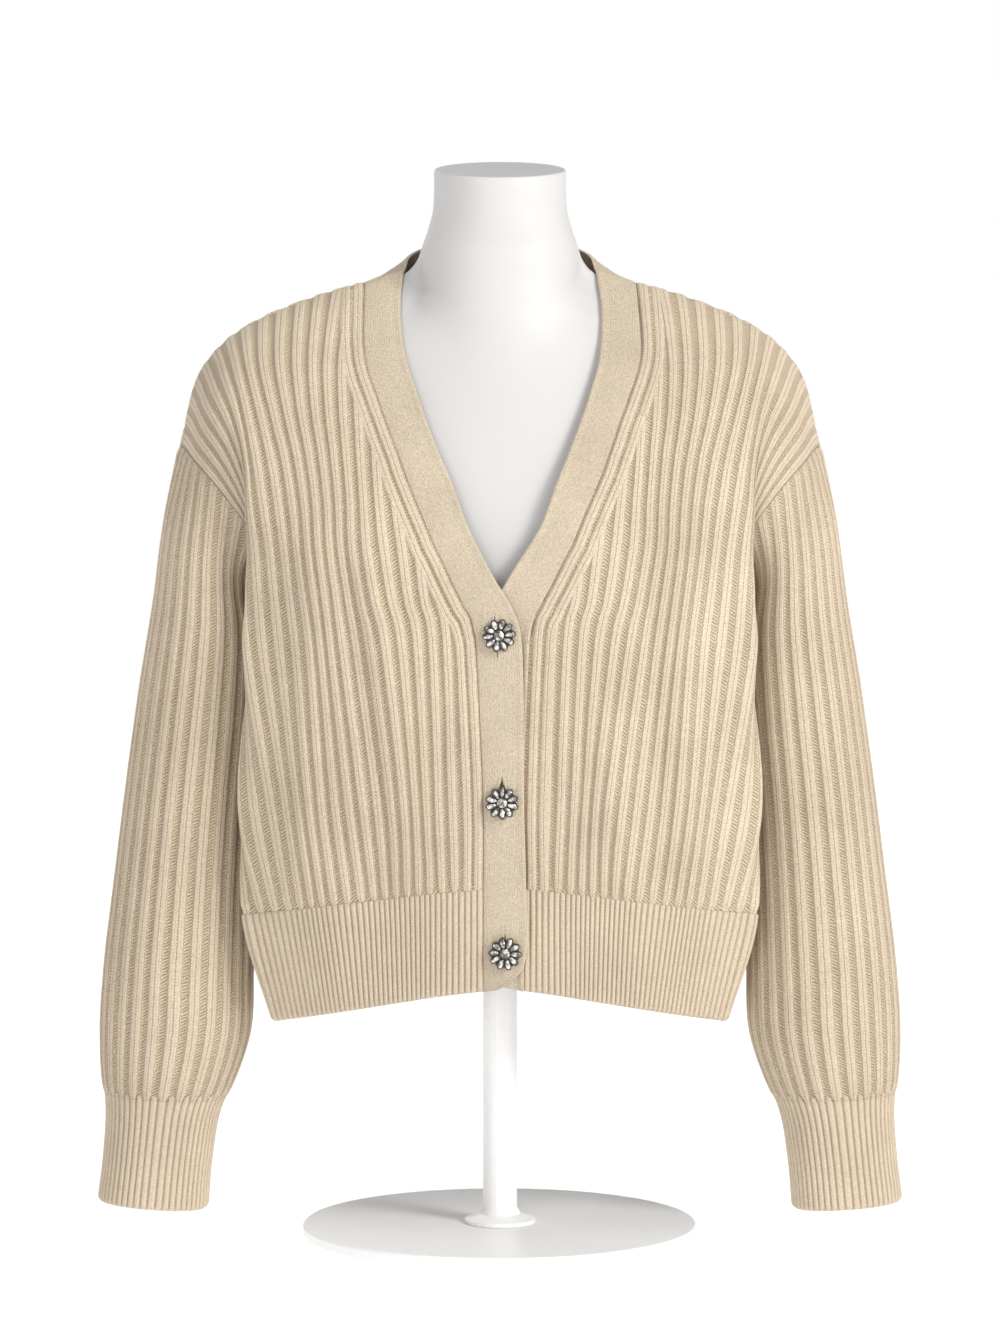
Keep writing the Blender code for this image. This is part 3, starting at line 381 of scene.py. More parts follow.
def back_row(row):
    """Rib numbers and points of one level of half the back, with one place past the middle."""
    t, ym, zm, xs, ys, zs, xb, yb, zb, xd, yd, zd, xa, ya, za = row
    tail = [(xs, ys, zs), (xb, yb, zb), (xd, yd, zd), (xa, ya, za)]
    ribs, points = [0] + spaced(tail, NECK_RIB, BACK_RIBS), [(0, ym, zm)] + tail
    if t < 10:
        return [-NECK_RIB] + ribs, [(-xs, ys, zs)] + points
    both = list(zip(ribs, points))
    both[1:2] = [(k, (x, y, z)) for k, x, y, z in NECK_SEAM] + [both[1], BACK_SHOULDER]
    return [k for k, _ in both], [p for _, p in both]


class Sheet:
    """A panel's surface: the points at rib numbers i and levels t."""

    def __init__(self, rows, shoulder_from, turned, folds):
        """shoulder_from: the neck's last rib; turned: 1 for a front, -1 for the back."""
        self.rows, self.shoulder_from, self.turned, self.folds = rows, shoulder_from, turned, folds

    def point(self, i, t):
        i, t = np.broadcast_arrays(np.asarray(i, float), np.asarray(t, float))
        levels = [curve(ribs, points, i) for ribs, points in self.rows]
        above = 2 * levels[10] - levels[9]
        over = np.clip((i - self.shoulder_from) / 1.5, 0, 1)
        above[..., 2] = levels[9][..., 2] + (1 - over) * (above[..., 2] - levels[9][..., 2])
        levels = np.stack([2 * levels[0] - levels[1]] + levels + [above])
        n = np.clip(np.floor(t).astype(int), 0, 9)
        p0, p1, p2, p3 = (np.take_along_axis(levels, (n + k)[None, ..., None], 0)[0] for k in range(4))
        u = (t - n)[..., None]
        flat = p1 + 0.5 * u * (p2 - p0 + u * (2 * p0 - 5 * p1 + 4 * p2 - p3 + u * (3 * (p1 - p2) + p3 - p0)))
        return flat + self.drape(flat)

    def drape(self, p):
        """Soft folds hang down the lower half: each is a line of x, z, x, z with its width and depth."""
        moved = np.zeros_like(p)
        for x0, z0, x1, z1, wide, deep in self.folds:
            share = (p[..., 2] - z0) / (z1 - z0)
            along = ease(p[..., 2], z1 - 30, z1 + 25) * (1 - ease(p[..., 2], z0 - 60, z0 + 10))
            off = (p[..., 0] - x0 - (x1 - x0) * share) / wide
            moved[..., 1] += self.turned * -deep * np.exp(-off * off) * along
        return moved

    def outward(self, i, t):
        across = self.point(i + 0.05, t) - self.point(i - 0.05, t)
        up = self.point(i, np.minimum(t + 0.03, 10)) - self.point(i, np.maximum(t - 0.03, 0))
        return unit(np.cross(across, up)) * self.turned


RIGHT_FOLDS = ((130, 540, 142, 262, 12, 3.4), (115, 540, 84, 330, 9, -2.8), (94, 520, 62, 262, 11, 2.6),
               (31, 440, 44, 330, 8, -1.6))
LEFT_FOLDS = ((128, 520, 138, 262, 13, 3.0), (68, 420, 93, 262, 12, 3.4), (104, 500, 116, 300, 10, -2.2),
              (38, 470, 52, 330, 9, 1.6))
BACK_FOLDS = ((60, 520, 78, 290, 18, 3.0), (118, 480, 134, 290, 16, 2.6))
RIGHT = Sheet([front_row(row, False) for row in FRONT_ROWS], 5.0, 1, RIGHT_FOLDS)
LEFT = Sheet([front_row(row, True) for row in FRONT_ROWS], 5.0, 1, LEFT_FOLDS)
BACK = Sheet([back_row(row) for row in BACK_ROWS], 8.8, -1, BACK_FOLDS)
# the rib that lies at the band's seam, for each level
RIGHT_FIRST = [row[4] for row in FRONT_ROWS]
LEFT_FIRST = [0.0] * 4 + [row[6] for row in FRONT_ROWS][4:]


def seam_rib(firsts, t):
    """The rib number at the band's seam at levels t."""
    return np.where(t <= 3, firsts[0], np.interp(t, range(3, 11), firsts[3:]))


def push_back(p):
    """The left front lies behind the right one where they overlap at the middle."""
    near = 1 - ease(p[..., 0], 15.0, 75.0)
    moved = p.copy()
    moved[..., 1] += OVERLAP * near * np.clip((600.0 - p[..., 2]) / 90.0, 0, 1)
    return moved


print("front is", round(float(RIGHT.point(20, 2)[0]), 1), "mm from the middle at its side seam")

# %% [markdown]
# ## The armhole
# Front, back and sleeve meet on one closed loop.  All three take its points and its direction through the
# cloth from here, so that their edges lie side by side all round, with nothing crossing.

# %% The loop where body and sleeve meet
LOOP_STEPS = 72                       # places down the back of the armhole, and as many up its front
ARM_LEVELS = 5 + 5 * np.linspace(0, 1, LOOP_STEPS + 1) ** 0.9


def sleeve_ring(row, at):
    """Points of a sleeve level at turns `at`: 0 outer, 0.25 back, 0.5 under, 0.75 front."""
    xo, zo, xu, zu, cy, b = row
    c, s = np.cos(2 * math.pi * at), np.sin(2 * math.pi * at)
    c, s = np.sign(c) * np.abs(c) ** 0.92, np.sign(s) * np.abs(s) ** 0.92
    mid, half = np.array(((xo + xu) / 2, cy, (zo + zu) / 2)), np.array(((xo - xu) / 2, 0, (zo - zu) / 2))
    return mid + half * c[..., None] + np.array((0, b, 0)) * s[..., None]


# xo, zo: the outer side; xu, zu: the under side; cy, b: middle and half of the depth
SLEEVE_ROWS = (
    (243, 526, 178, 479, 5, 59), (251.5, 466, 173, 437, 9, 57), (261.5, 407, 173.5, 389, 12, 54),
    (272, 334, 178.5, 322, 12, 51), (281, 264, 182, 256, 12, 48), (289, 201, 183, 195, 12, 46),
    (292.5, 149, 186, 144, 12, 44), (291.5, 116, 197, 112, 12, 39), (289.5, 98.5, 205, 95, 12, 34),
    (291, 60, 213, 56, 12, 31), (295.5, 23, 216.5, 17, 12, 31),
)
CUFF_LEVEL = 9                        # the cuff starts at this ring; ring 0 is the armhole itself

down = ARM_LEVELS[::-1]
loop_points = np.concatenate((BACK.point(BACK_RIBS, down), RIGHT.point(FRONT_RIBS, ARM_LEVELS[1:-1])))
loop_out = np.concatenate((BACK.outward(np.full(LOOP_STEPS + 1, BACK_RIBS - 0.4), down),
                           RIGHT.outward(np.full(LOOP_STEPS - 1, FRONT_RIBS - 0.4), ARM_LEVELS[1:-1])))
loop_run = length_along(np.concatenate((loop_points, loop_points[:1])))
half_way = loop_run[LOOP_STEPS]
loop_at = np.where(loop_run <= half_way, 0.5 * loop_run / half_way,
                   0.5 + 0.5 * (loop_run - half_way) / (loop_run[-1] - half_way))[:-1]
loop_tangent = unit(np.roll(loop_points, -3, 0) - np.roll(loop_points, 3, 0))
loop_out[loop_out[:, 0] < 0] *= -1    # under the arm the body turns to face the sleeve
into_body = unit(np.cross(loop_out, loop_tangent))
into_sleeve = sleeve_ring(SLEEVE_ROWS[0], loop_at) - loop_points
into_sleeve = unit(into_sleeve - (into_sleeve * loop_tangent).sum(1, keepdims=True) * loop_tangent)
LOOP_ACROSS = unit(into_sleeve - into_body)
for _ in range(40):                   # neighbouring directions are averaged until they turn evenly
    LOOP_ACROSS = unit(np.roll(LOOP_ACROSS, 1, 0) + LOOP_ACROSS * 2 + np.roll(LOOP_ACROSS, -1, 0))
LOOP_OUT = -unit(np.cross(loop_tangent, LOOP_ACROSS))


def round_loop(values, at):
    """Values on the armhole loop, read at turns `at`."""
    places = np.concatenate((loop_at, [1.0]))
    closed = np.concatenate((values, values[:1]))
    return np.stack([np.interp(np.mod(at, 1), places, closed[:, k]) for k in range(3)], -1)


print("armhole", round(float(loop_run[-1])), "mm round")

# %% [markdown]
# ## One wall from two grids
# Cloth has two sides and an edge all round.  The outer side is a fine grid, because the ribs are on it.
# The inner side is plain, so it keeps only some of the rows and columns, and the rim joins the two.
# Every point also remembers facts for later: the way out of the cloth, its rib number, and how many
# millimetres it lies from the lower edge and the band.

# %% Mesh helpers
INNER_ROW, INNER_COLUMN = 4, 6        # the inner side keeps every so-many-th row and column


def grid_faces(index, closed):
    """Faces over a grid of point numbers, outwards for rows going up and columns going left to right."""
    if closed:
        index = np.concatenate((index, index[:, :1]), 1)
    a, b, c, d = index[:-1, :-1], index[:-1, 1:], index[1:, 1:], index[1:, :-1]
    return np.stack((a, b, c, d), -1).reshape(-1, 4)


def tube_faces(rows, cols):
    """Faces of a closed solid made of rings of points, lowest first."""
    sides = grid_faces(np.arange(rows * cols).reshape(rows, cols), True).tolist()
    return sides + [list(range(cols))[::-1], list(range((rows - 1) * cols, rows * cols))]


def rim_faces(fine, coarse, kept):
    """Faces between a fine border and the coarse one that keeps only some of its places."""
    faces = []
    for n, (lo, hi) in enumerate(zip(kept[:-1], kept[1:])):
        faces.append([fine[k] for k in range(lo, hi + 1)] + [coarse[n + 1], coarse[n]])
    return faces


def kept_places(count, step):
    """Every step-th place of a border, with both ends."""
    places = list(range(0, count, step))
    return places if places[-1] == count - 1 else places + [count - 1]


def mesh_of(name, points, faces, mirror=1):
    """A mesh from points in millimetres. mirror: -1 turns the wearer's left side into the right one."""
    if mirror < 0:
        faces = [face[::-1] for face in faces]
    mesh = bpy.data.meshes.new(name)
    mesh.from_pydata((np.reshape(points, (-1, 3)) * (mirror * MM, MM, MM)).tolist(), [], faces)
    return mesh


def read(items, name):
    values = np.empty(len(items), np.int32)
    items.foreach_get(name, values)
    return values


def write_map(mesh, u, v, turn=0):
    """The knit's own map from each point's u and v. turn: how much u grows once round a tube."""
    corner = read(mesh.loops, "vertex_index")
    u, v = u[corner], v[corner]
    if turn:                          # the last column runs into the first, one whole turn further on
        size = read(mesh.polygons, "loop_total")
        highest = np.maximum.reduceat(u, read(mesh.polygons, "loop_start"))
        u = np.where(np.repeat(highest, size) - u > turn / 2, u + turn, u)
    layer = mesh.uv_layers.new(name="knit")
    layer.data.foreach_set("uv", np.stack((u, v), -1).astype(np.float32).ravel())


def knitted_wall(name, outer, out, along, facts, closed=False, mirror=1):
    """A closed wall of cloth. outer, out: grids of points and outward directions; along: millimetres
    from the lower edge; facts: a grid or a number for each name."""
    rows, cols = outer.shape[:2]
    keep_r = kept_places(rows, INNER_ROW)
    keep_c = list(range(0, cols, INNER_COLUMN)) if closed else kept_places(cols, INNER_COLUMN)
    kept = np.ix_(keep_r, keep_c)
    inner = (outer - out * WALL)[kept]
    fine = np.arange(rows * cols).reshape(rows, cols)
    coarse = rows * cols + np.arange(inner.shape[0] * inner.shape[1]).reshape(inner.shape[:2])
    faces = grid_faces(fine, closed).tolist() + grid_faces(coarse, closed)[:, ::-1].tolist()
    spans = keep_c + [cols] if closed else keep_c
    for r, turned in ((0, -1), (-1, 1)):
        f, c = fine[r].tolist(), coarse[r].tolist()
        if closed:
            f, c = f + f[:1], c + c[:1]
        faces += [face[::turned] for face in rim_faces(f, c, spans)]
    if not closed:
        for side, turned in ((0, 1), (-1, -1)):
            border = rim_faces(fine[:, side].tolist(), coarse[:, side].tolist(), keep_r)
            faces += [face[::turned] for face in border]
    mesh = mesh_of(name, np.concatenate((outer.reshape(-1, 3), inner.reshape(-1, 3))), faces, mirror)

    def both(values):
        """A fact for the points of the outer side and then of the inner one."""
        values = np.broadcast_to(np.asarray(values, float), (rows, cols))
        return np.concatenate((values.ravel(), values[kept].ravel()))

    lift = np.concatenate((out.reshape(-1, 3) * (mirror, 1, 1), np.zeros((coarse.size, 3)))).astype(np.float32)
    mesh.attributes.new("lift", "FLOAT_VECTOR", "POINT").data.foreach_set("vector", lift.ravel())
    for key, values in facts.items():
        mesh.attributes.new(key, "FLOAT", "POINT").data.foreach_set("value", both(values).astype(np.float32))
    rib = facts["rib"]
    turn = round(rib[0, -1] + rib[0, 1] - 2 * rib[0, 0]) if closed else 0
    write_map(mesh, both(rib), both(along) * 0.1, turn)
    return placed(name, mesh)


# %% [markdown]
# ## Ribs by geometry nodes
# A broad rib of this knit is two columns of plain stitches that stand out between two sunken ones.  Its
# top is flat, its sides are steep, and where the rib runs into the hem it narrows to a rounded tip.  Along
# the V neck two ribs follow the band, and the upright ribs run into them.  All that is a height that
# depends only on the rib number and on a few distances, so a node tree works it out at every point.

# %% The node tree that raises the ribs
NECK_LINES = (4.5, 13.2)              # the two ribs along the V neck: millimetres from the band's seam
NECK_LINE_WIDTHS = (3.2, 3.1)


def close_tree(tree, geometry, finish):
    """Makes all instances real, gives them their material and sends them to the output."""
    real = put(tree, "GeometryNodeRealizeInstances", geometry)
    put(tree, "NodeGroupOutput", put(tree, "GeometryNodeSetMaterial", real, Material=finish))
    return tree


def rib_tree():
    """Moves each point along its own outward direction by the height of the rib it lies on."""
    tree, get = node_group("raise ribs", "GeometryNodeTree", {
        "Cloth": "Geometry", "Rise": 0.0021, "Ridge half": 0.325, "Softness": 0.085, "Tip half": 0.20,
        "Tip length": 8.0, "Tip height": 0.5, "Arch": 0.0, "Unevenness": 0.05, "Finish": "Material",
    }, {"Cloth": "Geometry"})

    def fact(name, kind="FLOAT"):
        return put(tree, "GeometryNodeInputNamedAttribute", name, data_type=kind)

    wobble = (noise(put(tree, "GeometryNodeInputPosition"), 38.0, 2.0) - 0.5) * get["Unevenness"]
    x = abs(maths("FRACT", fact("rib") + wobble * 2.0) - 0.5)
    low, seam = fact("low"), fact("seam")
    half = step_up(low, 0.0, get["Tip length"], get["Tip half"], get["Ridge half"])
    ridge = step_up(x, half - get["Softness"], half + get["Softness"], 1.0, 0.0) * (x * x * -2.0 + 1.0)
    height = ridge * step_up(seam, 11.4, 13.0)
    for middle, wide in zip(NECK_LINES, NECK_LINE_WIDTHS):
        line = step_up(abs(seam - middle), wide - 1.3, wide + 1.3, 1.0, 0.0)
        height = maths("MAXIMUM", height, line)
    height = height * step_up(low, 0.0, 5.0, get["Tip height"], 1.0)
    # a small arch in each valley, where a new cuff rib begins
    arch = step_up(0.5 - x, 0.10, 0.22, 1.0, 0.0) * step_up(low, 2.0, 5.0, 0.7, 0.0)
    height = maths("MAXIMUM", height, arch * get["Arch"]) * (wobble * 3.0 + 1.0)
    marked = put(tree, "GeometryNodeStoreNamedAttribute", get["Cloth"], Name="raised", Value=height,
                 data_type="FLOAT", domain="POINT")
    offset = put(tree, "ShaderNodeVectorMath", fact("lift", "FLOAT_VECTOR"), operation="SCALE",
                 Scale=height * get["Rise"] * fact("flat"))
    return close_tree(tree, put(tree, "GeometryNodeSetPosition", marked, Offset=offset), get["Finish"])


def run_nodes(thing, tree, **values):
    """Runs a node tree on an object with the given inputs and keeps the result as a plain mesh."""
    modifier = thing.modifiers.new(tree.name, "NODES")
    modifier.node_group = tree
    keys = {item.name: item.identifier for item in tree.interface.items_tree if item.in_out == "INPUT"}
    for name, value in values.items():
        modifier[keys[name.replace("_", " ")]] = value
    graph = bpy.context.evaluated_depsgraph_get()
    made = bpy.data.meshes.new_from_object(thing.evaluated_get(graph), depsgraph=graph)
    thing.modifiers.remove(modifier)
    old, thing.data = thing.data, made
    made.name = thing.name
    bpy.data.meshes.remove(old)


RAISE_RIBS = rib_tree()
print("rib tree has", len(RAISE_RIBS.nodes), "nodes")

# %% [markdown]
# ## Finishing a knitted piece
# Where two columns run together at the end of a rib, their points lie in one place and become one.  Then
# the piece is shaded smooth, and only what the yarn needs stays on its points.

# %% Finish a piece
def finish_knit(thing, sharp=62):
    """Merges the doubles of collapsed columns, shades smoothly, and drops the working attributes."""
    mesh = bmesh.new()
    mesh.from_mesh(thing.data)
    bmesh.ops.remove_doubles(mesh, verts=mesh.verts, dist=2e-6)
    bmesh.ops.dissolve_degenerate(mesh, edges=mesh.edges, dist=1e-6)
    mesh.to_mesh(thing.data)
    open_edges = sum(len(edge.link_faces) != 2 for edge in mesh.edges)
    mesh.free()
    thing.data.shade_smooth()
    thing.data.set_sharp_from_angle(angle=math.radians(sharp))
    for name in ("lift", "low", "seam", "flat"):
        if name in thing.data.attributes:
            thing.data.attributes.remove(thing.data.attributes[name])
    thing.data.calc_loop_triangles()
    print(thing.name, len(thing.data.loop_triangles), "triangles,", open_edges, "open edges")
    return thing


# %% [markdown]
# ## Yarn and stitches
# A rib of this knit is two columns of plain stitches, each a stack of small Vs, and between the ribs lie
# purl stitches, which show as short bumps across.  The stitches are far too many to model, so a shader
# group draws their height from the knit's own map (ribs across, centimetres along).  The same height
# also paints shade into the gaps between the strands.  The yarn is a heather of cream, tan and a little greyish
# lilac.

# %% The stitch group
def stitch_group():
    """From the knit's map: the height of the stitches, how far a point is up a ridge, and its heather."""
    tree, get = node_group("stitches", "ShaderNodeTree", {
        "Map": "Vector", "Raised": 1.0, "Columns per ridge": 2.0, "Ridge width": 0.58, "Rows per cm": 4.2,
        "Shift": 0.0, "Looseness": 0.09,
    }, {"Height": "Float", "Ridge": "Float", "Heather": "Float"})
    stray = (noise(get["Map"], 3.1, 3.0) - 0.5) * get["Looseness"]
    split = put(tree, "ShaderNodeSeparateXYZ", get["Map"])
    across = split + stray
    rows = (split.out("Y") + stray) * get["Rows per cm"]

    def waves(phase, power):
        """Soft bumps from 0 to 1 and back, one for each whole number of the phase."""
        return maths("POWER", abs(maths("SINE", phase * math.pi)), power)

    ridge = step_up(get["Raised"], 0.18, 0.62)
    # plain stitches: two long legs in each column, leaning apart, with a dashed line between two columns
    column = (maths("FRACT", across) - 0.5) / get["Ridge width"] * get["Columns per ridge"]
    leg = abs(maths("FRACT", column + get["Shift"]) - 0.5) * 2.0
    strand = waves(rows - leg * 1.6, 0.6)
    groove = step_up(leg, 0.62, 1.0) * (waves(rows, 1.5) * -0.55 + 1.0)
    plain = step_up(leg, 0.0, 0.25, 0.74, 1.0) * (1.0 - groove * 0.92) * (strand * 0.52 + 0.48)
    # purl stitches: short slanting bumps in the valley
    slant = rows + (maths("FRACT", across + 0.5) - 0.5) * 3.0
    purl = waves(slant + stray * 4.0, 1.1) * 0.74 + 0.10
    height = put(tree, "ShaderNodeMix", ridge, purl, plain, data_type="FLOAT")
    stretched = put(tree, "ShaderNodeMapping", get["Map"], Scale=(17.0, 3.0, 1.0))
    put(tree, "NodeGroupOutput", height, ridge, noise(stretched, 1.0, 3.0, Roughness=0.7))
    return tree


STITCHES = stitch_group()
print("stitch group has", len(STITCHES.nodes), "nodes")

# %% [markdown]
# ## One knit finish, four uses
# The colour comes from three things: ridges are lighter than the purl ground, whose darker, browner
# colour is painted shade; the gaps between strands get painted shade, and the stitch tops a faint painted
# highlight; and the heather lets single strands be warmer, paler or greyer.  A large soft noise keeps wide
# areas from looking printed.  The sheen of the fibre ends is a number on the shader itself.

# %% Knit materials
def knit_finish(name, valley_shade, top, strand_shade_strength, columns=2.0, width=0.60, rows=4.2, shift=0.0, depth=0.0008,
                heather=0.9, grain=1.0, ribbed=True):
    """Yarn of the top colour on the raised stitches, with a darker colour painted into the valleys as shade,
    and painted shade in the gaps between strands.
    """
    made, tree, shader = material(name, Roughness=0.92, Specular_IOR_Level=0.22, Sheen_Weight=0.22,
                                  Sheen_Roughness=0.55, Sheen_Tint=(0.96, 0.92, 0.85))
    raised = put(tree, "ShaderNodeAttribute", attribute_name="raised").out("Fac") if ribbed else None
    height = put(tree, "ShaderNodeGroup", node_tree=STITCHES, Map=put(tree, "ShaderNodeUVMap", uv_map="knit"),
                 Raised=raised, Columns_per_ridge=columns, Ridge_width=width, Rows_per_cm=rows, Shift=shift)
    # the valleys take the darker first colour, which is painted shade
    colour = mixed(tree, height.out("Ridge"), valley_shade, top)
    pale, grey = tuple(min(c * 1.30, 1) for c in top), (top[0] * 0.66, top[1] * 0.665, top[2] * 0.70)
    flecks = ramp(height.out("Heather"), (0.33, grey), (0.45, tuple(c * 0.96 for c in top)), (0.57, top),
                  (0.70, pale))
    colour = mixed(tree, heather * 0.7, colour, flecks)
    # painted shade in the gaps between strands, and a faint painted highlight on the tops of the stitches
    strand_gap_shade = ramp(height, (0.0, (1 - strand_shade_strength * 0.86, 1 - strand_shade_strength * 0.95, 1 - strand_shade_strength * 1.07)),
                (0.6, (0.95, 0.94, 0.925)), (1.0, (1.05, 1.05, 1.055)))
    place = put(tree, "ShaderNodeTexCoord").out("Object")
    cloud = ramp(noise(place, 14.0, 6.0, Roughness=0.62), (0.30, (0.90, 0.892, 0.88)),
                 (0.70, (1.06, 1.06, 1.065)))
    fuzz = noise(place, 820.0, 3.0, Roughness=0.75)
    wool = ramp(fuzz, (0.30, (1 - 0.18 * grain, 1 - 0.19 * grain, 1 - 0.20 * grain)), (0.52, (1.0, 1.0, 1.0)),
                (0.72, (1 + 0.14 * grain, 1 + 0.14 * grain, 1 + 0.145 * grain)))
    for shade in (strand_gap_shade, cloud, wool):
        colour = mixed(tree, 1.0, colour, shade, "MULTIPLY")
    fill(shader, Base_Color=colour, Normal=relief(height + fuzz * 0.8, depth, 0.85))
    return made


# in each yarn the first, darker colour is painted shade for the valleys of ribbed pieces, the second the yarn's
# own colour
BODY_YARN = knit_finish("cream_rib_knit", (0.520, 0.412, 0.274), (0.735, 0.621, 0.474), 0.84)
# the sleeves' yarn is the body's yarn made a little darker: painted shade for the sleeves at the sides
SHADED_SLEEVE_YARN = knit_finish("cream_sleeve_knit", (0.51, 0.400, 0.266), (0.70, 0.588, 0.446), 0.84)
FINE_YARN = knit_finish("cream_fine_rib", (0.36, 0.275, 0.18), (0.66, 0.555, 0.423), 0.38, columns=1.0,
                        width=0.80, rows=4.4, shift=0.5, depth=0.0004)
BAND_YARN = knit_finish("cream_band_knit", (0.60, 0.50, 0.37), (0.68, 0.578, 0.442), 0.42, columns=1.0,
                        width=1.0, rows=6.2, depth=0.0005, heather=0.8, grain=1.6, ribbed=False)
BROAD_RIB = {"Rise": RIB_RISE * MM, "Finish": BODY_YARN}
SLEEVE_RIB = {"Rise": RIB_RISE * MM, "Tip_half": 0.185, "Tip_length": 9.0, "Tip_height": 0.62, "Arch": 1.0,
              "Finish": SHADED_SLEEVE_YARN}
FINE_RIB = {"Rise": FINE_RISE * MM, "Ridge_half": 0.385, "Softness": 0.11, "Finish": FINE_YARN}
print("materials", BODY_YARN.name, SHADED_SLEEVE_YARN.name, FINE_YARN.name, BAND_YARN.name)

# %% [markdown]
# ## The fronts
# A front is a grid with twelve columns to each rib, closest together on the rib's two steep sides.  Its
# rows run level near the hem.  Above the lowest button they bend, because each column has to end either at
# the V neck or at the shoulder seam.  The rows are closer together at both ends, where ribs taper or meet
# the band.

# %% Rows and columns of a panel
RIB_STEPS = np.array((0, 0.12, 0.18, 0.24, 0.30, 0.38, 0.50, 0.62, 0.70, 0.76, 0.82, 0.88))
FINE_STEPS = np.array((0, 0.08, 0.17, 0.32, 0.50, 0.68, 0.83, 0.92))
CLOSE_ROWS = np.array((0, 0.4, 0.9, 1.5, 2.2, 3.0, 3.9, 5.0, 6.2, 7.6, 9.2))   # the first rows above a hem
LOW_HEIGHT = 190                      # a front's rows are level up to this height above the hem
LOW_ROWS = np.concatenate((CLOSE_ROWS / LOW_HEIGHT, np.linspace(12.5, LOW_HEIGHT, 44) / LOW_HEIGHT))
TRACE = 160                           # places at which a column is measured before its rows are laid out


def rib_columns(first, last, steps):
    """Rib numbers of a panel's columns, from just past the first edge to the last rib."""
    columns = (np.arange(math.floor(first), last)[:, None] + steps).ravel()
    return np.append(columns[columns > first + 0.03], last)


def front_levels(sheet, firsts, columns):
    """Levels for every row and column: shared ones below level 3, then spaced along each column."""
    low = np.repeat((1 + 2 * LOW_ROWS)[:, None], len(columns), 1)
    ends = np.where(columns >= firsts[-1], 10.0, np.interp(columns, firsts[3:], range(3, 11)))
    fine = 3 + np.linspace(0, 1, TRACE)[:, None] * (ends - 3)
    run = length_along(sheet.point(np.repeat(columns[None], TRACE, 0), fine))
    upper = []
    for n, total in enumerate(run[-1]):
        dense = min(26.0, 0.45 * total)
        wanted = np.append(np.linspace(0, total - dense, 53)[1:], total - dense + np.linspace(0, dense, 23)[1:])
        upper.append(np.interp(wanted, run[:, n], fine[:, n]))
    return np.concatenate((low, np.stack(upper, 1)))


def both_sides(columns):
    """Factors that mirror the columns with negative rib numbers to the other side."""
    return np.where(columns < 0, -1.0, 1.0)[:, None] * (1, 0, 0) + np.array((0, 1, 1))


def side_frame(t, back):
    """The way out of the cloth, and the way across the seam, on the side edge at levels t."""
    order = np.arange(LOOP_STEPS + 1)
    order = LOOP_STEPS - order if back else (LOOP_STEPS + order) % len(loop_points)
    out = np.stack([np.interp(t, ARM_LEVELS, LOOP_OUT[order, k]) for k in range(3)], -1)
    across = np.stack([np.interp(t, ARM_LEVELS, LOOP_ACROSS[order, k]) for k in range(3)], -1)
    below = np.clip((t - 4.75) / 0.25, 0, 1)[..., None]
    return lean(np.array((1.0, 0, 0)), out, below), np.where(t[..., None] >= 5, across, (1.0, 0, 0))


def pull_in(points, r, inside):
    """Moves a border row a little towards the row inside it, so that two sewn pieces don't overlap."""
    away = points[inside] - points[r]
    points[r] += unit(away) * np.minimum(SEAM, np.linalg.norm(away, axis=-1, keepdims=True) * 0.2)


def settle(sheet, points, out, i, t, corner, sides):
    """Makes room for the seams at a body panel's edges, in place, and returns the outward directions:
    the armhole's own at the side, and at the shoulder straight out of one upright plane."""
    last = FRONT_RIBS if sheet.turned > 0 else BACK_RIBS
    edge_out, across = side_frame(t[:, sides[0]], sheet is BACK)
    out = lean(out, edge_out[:, None], np.clip((i - last + 0.5) / 0.5, 0, 1)[..., None])
    shoulder = (np.clip((t - 9.5) / 0.5, 0, 1) * (i >= corner))[..., None]
    out = lean(out, unit(out * (1, 0, 1)), shoulder)
    pull_in(points, 0, 1)
    pull_in(points, -1, -2)
    for c in sides:
        points[:, c] -= across * SEAM
    over = (t > 9.3) & (i >= corner)
    y = points[..., 1] * sheet.turned
    points[..., 1] = np.where(over, np.minimum(y, -SEAM), y) * sheet.turned
    return out


def body_flat(points, i, t, last):
    """The share of its height that a rib keeps: less at the top, and beside the arm, where the body and
    the sleeve hang close together."""
    beside = np.clip((i - last + 4.5) / 2, 0, 1) * np.clip((t - 3.2) / 0.8, 0, 1)
    underarm = 1 - 0.75 * beside * np.clip((7.5 - t) / 1.5, 0, 1)
    from_top = np.linalg.norm(points - points[-1:], axis=-1)
    return underarm * (1 - 0.4 * ease(t, 8.6, 10)) * (0.35 + 0.65 * ease(from_top, 0, 4.0))


# %% [markdown]
# ## The lines along the V neck
# Two ribs follow the band.  They are found by each point's distance to the seam, and there the knit's map
# is turned too, so that the stitches run along them.

# %% Distances to the seam, and the turned map
def nearest(points, line):
    """For each point the number of the nearest of a line's points, and its distance in millimetres."""
    flat = points.reshape(-1, 3)
    which, best = np.empty(len(flat), int), np.empty(len(flat))
    for n in range(0, len(flat), 4000):
        away = np.linalg.norm(flat[n:n + 4000, None] - line[None], axis=-1)
        which[n:n + 4000], best[n:n + 4000] = away.argmin(1), away.min(1)
    return which, best


